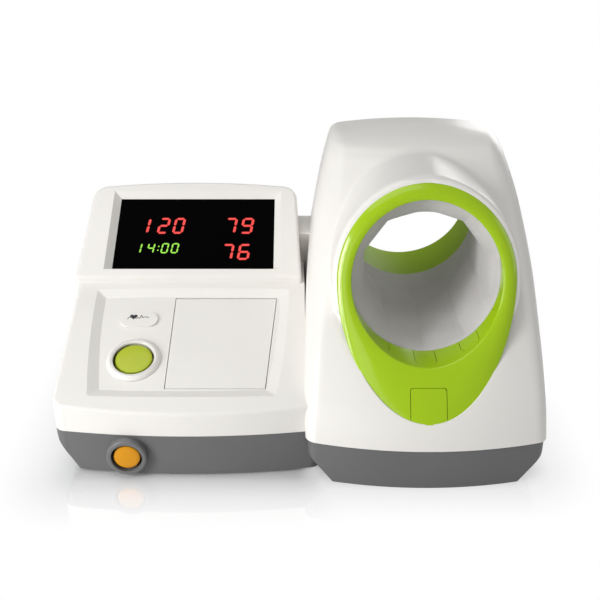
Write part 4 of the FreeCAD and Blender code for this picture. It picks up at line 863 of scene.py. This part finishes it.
# Each corner is given as radius, height and how far its rounding reaches.
bezel_form = [(22.5, -4.2, 0), (22.5, -0.5, 1.0), (24.2, 0.35, 1.0), (26.6, 0.1, 1.5), (29.2, -2.0, 1.5),
              (30.3, -4.2, 0), (22.5, -4.2, 0)]
bezel = turned("start_ring", bezel_form, WHITE, at_button, closed=True)
on_body(bezel, "white_shell", "start_bezel")
cap_form = [(0.01, -0.9, 0), (10.0, -1.0, 4.0), (18.4, -1.5, 2.0), (20.1, -2.1, 0.7), (20.8, -3.3, 0.8),
            (20.8, -8.8, 0), (18.8, -8.8, 0), (18.8, -4.8, 0), (4.0, -4.8, 0), (4.0, -17.8, 0),
            (0.01, -17.8, 0)]
on_body(turned("start_cap", cap_form, LEAF, at_button), "button_green", "start_button", body="start_button")


def at_stop(points):
    """Local Z points out of the front, towards the user."""
    return np.stack([points[..., 0] + STOP_X, -points[..., 2] + STOP_DEPTH - HALF_DEPTH,
                     points[..., 1] + STOP_Z], -1)


stop_form = [(0.01, 0.9, 0), (6.0, 0.75, 3.0), (12.6, 0.0, 1.6), (14.0, -0.9, 0.7), (14.3, -2.6, 0.8),
             (14.3, -16.0, 0), (12.3, -16.0, 0), (12.3, -4.0, 0), (4.0, -4.0, 0), (4.0, -26.0, 0),
             (0.01, -26.0, 0)]
on_body(turned("stop_cap", stop_form, ORANGE, at_stop), "button_orange", "stop_button", body="stop_button")


# ---------------------------------------------------------------- lit figures

# Level of a figure's back and face below the head's face, just before the window.
FIGURE_BACK, FIGURE_FACE = -6.5, -6.38
# The bars of each figure: a is the upper one, b to f go on clockwise and g is in the middle.
SEGMENTS = {"0": "abcdef", "1": "bc", "2": "abged", "4": "fgbc", "6": "acdefg", "7": "abc", "9": "abcdfg"}


def bar(start, end, half):
    """A straight bar of a figure, pointed at both ends: six corners."""
    start, end = np.array(start, float), np.array(end, float)
    along = (end - start) / np.linalg.norm(end - start)
    side = np.array([-along[1], along[0]])
    gap = half * 0.24
    return np.array([start + along * gap, start + along * (half + gap) + side * half,
                     end - along * (half + gap) + side * half, end - along * gap,
                     end - along * (half + gap) - side * half, start + along * (half + gap) - side * half])


def figures(name, text, left, right, low, high, material, slot, weight=0.125):
    """Seven-bar figures on the window, slanted, with a square-dot colon."""
    tall = high - low
    slant, share, colon_share, narrow_one = 0.13, 0.72, 0.38, 0.5
    half = tall * weight / 2
    room = right - left - slant * tall
    dots = text.count(":")
    pitch = room / (len(text) - dots * (1.0 - colon_share) - (1.0 - share))
    wide = pitch * share - 2 * half
    solids, x = [], left + half
    for sign in text:
        if sign == ":":
            for level in (0.3, 0.68):
                c = np.array([x + 0.02 * tall, low + tall * level])
                solids.append(c + half * 0.9 * np.array([[-1, -1], [1, -1], [1, 1], [-1, 1]]))
            x += pitch * colon_share
            continue
        far = x + wide * (narrow_one if sign == "1" else 1.0)
        y0, y1, y2 = low + half, low + tall / 2, high - half
        ends = {"a": ((x, y2), (far, y2)), "b": ((far, y1), (far, y2)), "c": ((far, y0), (far, y1)),
                "d": ((x, y0), (far, y0)), "e": ((x, y0), (x, y1)), "f": ((x, y1), (x, y2)),
                "g": ((x, y1), (far, y1))}
        solids += [bar(*ends[key], half) for key in SEGMENTS[sign]]
        x += pitch
    form = bmesh.new()
    for outline in solids:
        slanted = np.column_stack([outline[:, 0] + slant * (outline[:, 1] - low), outline[:, 1]])
        top, bottom = ([form.verts.new(point) for point in
                        head.place(np.column_stack([slanted, np.full(len(slanted), level)])) * 0.001]
                       for level in (FIGURE_FACE, FIGURE_BACK))
        form.faces.new(top)
        form.faces.new(bottom[::-1])
        for here in range(len(top)):
            after = (here + 1) % len(top)
            form.faces.new((top[here], bottom[here], bottom[after], top[after]))
    bmesh.ops.recalc_face_normals(form, faces=form.faces[:])
    mesh = bpy.data.meshes.new(name)
    form.to_mesh(mesh)
    form.free()
    mesh.materials.append(material)
    piece = bpy.data.objects.new(name, mesh)
    bpy.context.scene.collection.objects.link(piece)
    return on_body(piece, slot)


figures("upper_pressure", "120", -63.5, -9.3, 68.7, 93.6, RED_LIT, "led_red")
figures("lower_pressure", "79", 37.2, 75.8, 68.7, 93.6, RED_LIT, "led_red")
figures("clock", "14:00", -66.9, -14.8, 38.9, 54.3, GREEN_LIT, "led_green", weight=0.12)
figures("pulse_rate", "76", 35.0, 72.9, 29.0, 53.0, RED_LIT, "led_red")


# ---------------------------------------------------------------- heart sign on the pill

def strip_along(points, half):
    """A flat strip of constant width along a bent line: two rows of points."""
    step = np.gradient(points, axis=0)
    step /= np.linalg.norm(step, axis=1, keepdims=True)
    side = np.column_stack([-step[:, 1], step[:, 0]]) * half
    return np.stack([points - side, points + side], 1)


def pill_sign():
    """A solid heart and the trace of a pulse, printed on the pill's face.

    The heart is 16 sin^3 t across and 13 cos t - 5 cos 2t - 2 cos 3t - cos 4t up, filled towards its middle.
    """
    t = np.linspace(0.0, 2 * math.pi, 72, endpoint=False)
    size, aside = 0.27, np.array([-5.6, 0.6])
    heart = np.column_stack([16 * np.sin(t) ** 3,
                             13 * np.cos(t) - 5 * np.cos(2 * t) - 2 * np.cos(3 * t) - np.cos(4 * t)]) * size
    heart = heart + aside
    shrink = np.linspace(1.0, 0.0, 9)[:, None, None]
    middle = heart.mean(0)
    fan = middle + (heart - middle) * shrink
    corners = np.array([(-12.5, -3.2), (-10.4, 0.4), (-8.8, -0.6), (-2.2, -2.0), (-0.4, -0.6),
                        (1.4, -2.2), (3.2, 3.0), (4.6, -1.2), (6.4, 0.2), (8.4, -0.4), (9.4, 0.6),
                        (11.0, -0.8), (12.4, -0.8)])
    run = np.concatenate([[0.0], np.cumsum(np.linalg.norm(np.diff(corners, axis=0), axis=1))])
    even = np.linspace(0.0, run[-1], 160)
    line = np.column_stack([np.interp(even, run, corners[:, 0]), np.interp(even, run, corners[:, 1])])
    trace = strip_along(line, half=0.42)
    for name, grid, ring in (("heart_sign", fan, True), ("pulse_trace", trace, False)):
        level = np.concatenate([grid, np.full(grid.shape[:2] + (1,), PILL_FACE)], -1)
        spot = deck.place(level + np.array([PILL_U, PILL_V, 0.0]))
        on_body(grid_piece(name, spot, INK, ring_columns=ring, flip=not ring), "part_black")


pill_sign()


# ---------------------------------------------------------------- camera, light and floor

camera = bpy.data.cameras.new("camera")
camera.lens, camera.sensor_width = 54.0, 36.0
eye = bpy.data.objects.new("camera", camera)
eye.location = (0.002, -0.9458, 0.5947)
eye.rotation_euler = (math.radians(64.0), 0.0, 0.0)
bpy.context.scene.collection.objects.link(eye)
bpy.context.scene.camera = eye


def soft_light(name, place, aim, size, power):
    """A white rectangular lamp, turned towards the point that it aims at."""
    lamp = bpy.data.lights.new(name, "AREA")
    lamp.shape, lamp.size, lamp.size_y = "RECTANGLE", size[0], size[1]
    lamp.energy = power
    holder = bpy.data.objects.new(name, lamp)
    holder.location = place
    holder.rotation_euler = (Vector(aim) - Vector(place)).to_track_quat("-Z", "Y").to_euler()
    bpy.context.scene.collection.objects.link(holder)


soft_light("left_strip", (-1.2, -0.85, 0.6), (0.05, -0.1, 0.2), (0.25, 0.9), 12.5)
soft_light("gloss_strip", (-1.1, -1.2, 0.66), (0.05, -0.1, 0.2), (0.12, 0.9), 4.5)
soft_light("front_softbox", (-0.6, -1.8, 0.75), (0.0, 0.0, 0.15), (1.0, 0.7), 2.5)
soft_light("right_fill", (1.5, -0.2, 0.7), (0.13, 0.0, 0.2), (0.8, 0.8), 2.5)
soft_light("top_softbox", (-0.4, -0.1, 1.9), (0.0, 0.0, 0.1), (1.6, 1.2), 8.0)
soft_light("rear_light", (0.8, 1.3, 0.5), (0.1, 0.0, 0.2), (0.7, 0.6), 4.0)

# The camera sees plain white; every other ray meets a dimmer sky.
world = bpy.data.worlds.new("studio")
bpy.context.scene.world = world
world.use_nodes = True
sky = world.node_tree
sky.nodes.clear()
path, backdrop, ambient, either, sky_out = (sky.nodes.new("ShaderNode" + kind) for kind in (
    "LightPath", "Background", "Background", "MixShader", "OutputWorld"))
for shade, colour, strength in ((backdrop, (1.0, 1.0, 1.0), 1.0), (ambient, (0.97, 0.98, 1.0), 0.35)):
    shade.inputs["Color"].default_value = (*colour, 1.0)
    shade.inputs["Strength"].default_value = strength
sky.links.new(path.outputs["Is Camera Ray"], either.inputs[0])
sky.links.new(ambient.outputs[0], either.inputs[1])
sky.links.new(backdrop.outputs[0], either.inputs[2])
sky.links.new(either.outputs[0], sky_out.inputs["Surface"])


def floor_look():
    """Polished pale floor: shadow and faint mirror image beside the two bases, plain white further off."""
    look = Look("pale_floor")
    x, y = (look.node("ShaderNodeSeparateXYZ", None, look.place, out=axis) for axis in "XY")
    console_box, arm_box = (-0.118, 0.115, 0.156), (0.1345, 0.098, 0.140)
    contact, halo, mirror_reach = 0.016, 0.045, 0.10
    outside = []
    for middle, half_width, half_depth in (console_box, arm_box):
        aside = x - middle
        across = look.math("MAXIMUM", look.math("ABSOLUTE", aside) - half_width, 0.0)
        along = look.math("MAXIMUM", look.math("ABSOLUTE", y) - half_depth, 0.0)
        outside.append((across * across + along * along) ** 0.5)
    away = look.math("MINIMUM", *outside)
    cloud = look.noise(3.0, 2.0)
    near = look.shader(Base_Color=look.mix(cloud, (0.90, 0.90, 0.90), (0.92, 0.92, 0.92)),
                       Roughness=cloud * 0.03 + 0.3)
    plain = look.node("ShaderNodeEmission", None, (1.0, 1.0, 1.0, 1.0), 1.0)
    polish = look.shader(Base_Color=(0.95, 0.95, 0.95), Metallic=1.0, Roughness=cloud * 0.03 + 0.04)
    seen = look.output("ShaderNodeLightPath", "Is Camera Ray")
    share = (away.smooth(0.0, contact) * 0.35 + away.smooth(0.0, halo) * 0.65) * seen
    shaded = look.node("ShaderNodeMixShader", None, share, near, plain)
    mirror = (1.0 - away.smooth(0.0, mirror_reach)) * 0.30 * seen
    return look.finish(look.node("ShaderNodeMixShader", None, mirror, shaded, polish))


def floor_piece():
    """A flat disc: rings of growing radius."""
    radius = np.concatenate([[0.001], np.geomspace(50.0, 9000.0, 24)])
    turn = np.linspace(0.0, 2 * math.pi, 96, endpoint=False)
    grid = np.stack([radius[:, None] * np.cos(turn), radius[:, None] * np.sin(turn),
                     np.zeros((len(radius), len(turn)))], -1)
    return grid_piece("floor", grid, floor_look(), ring_columns=True)


floor_piece()
bpy.context.scene.view_settings.view_transform = "Standard"
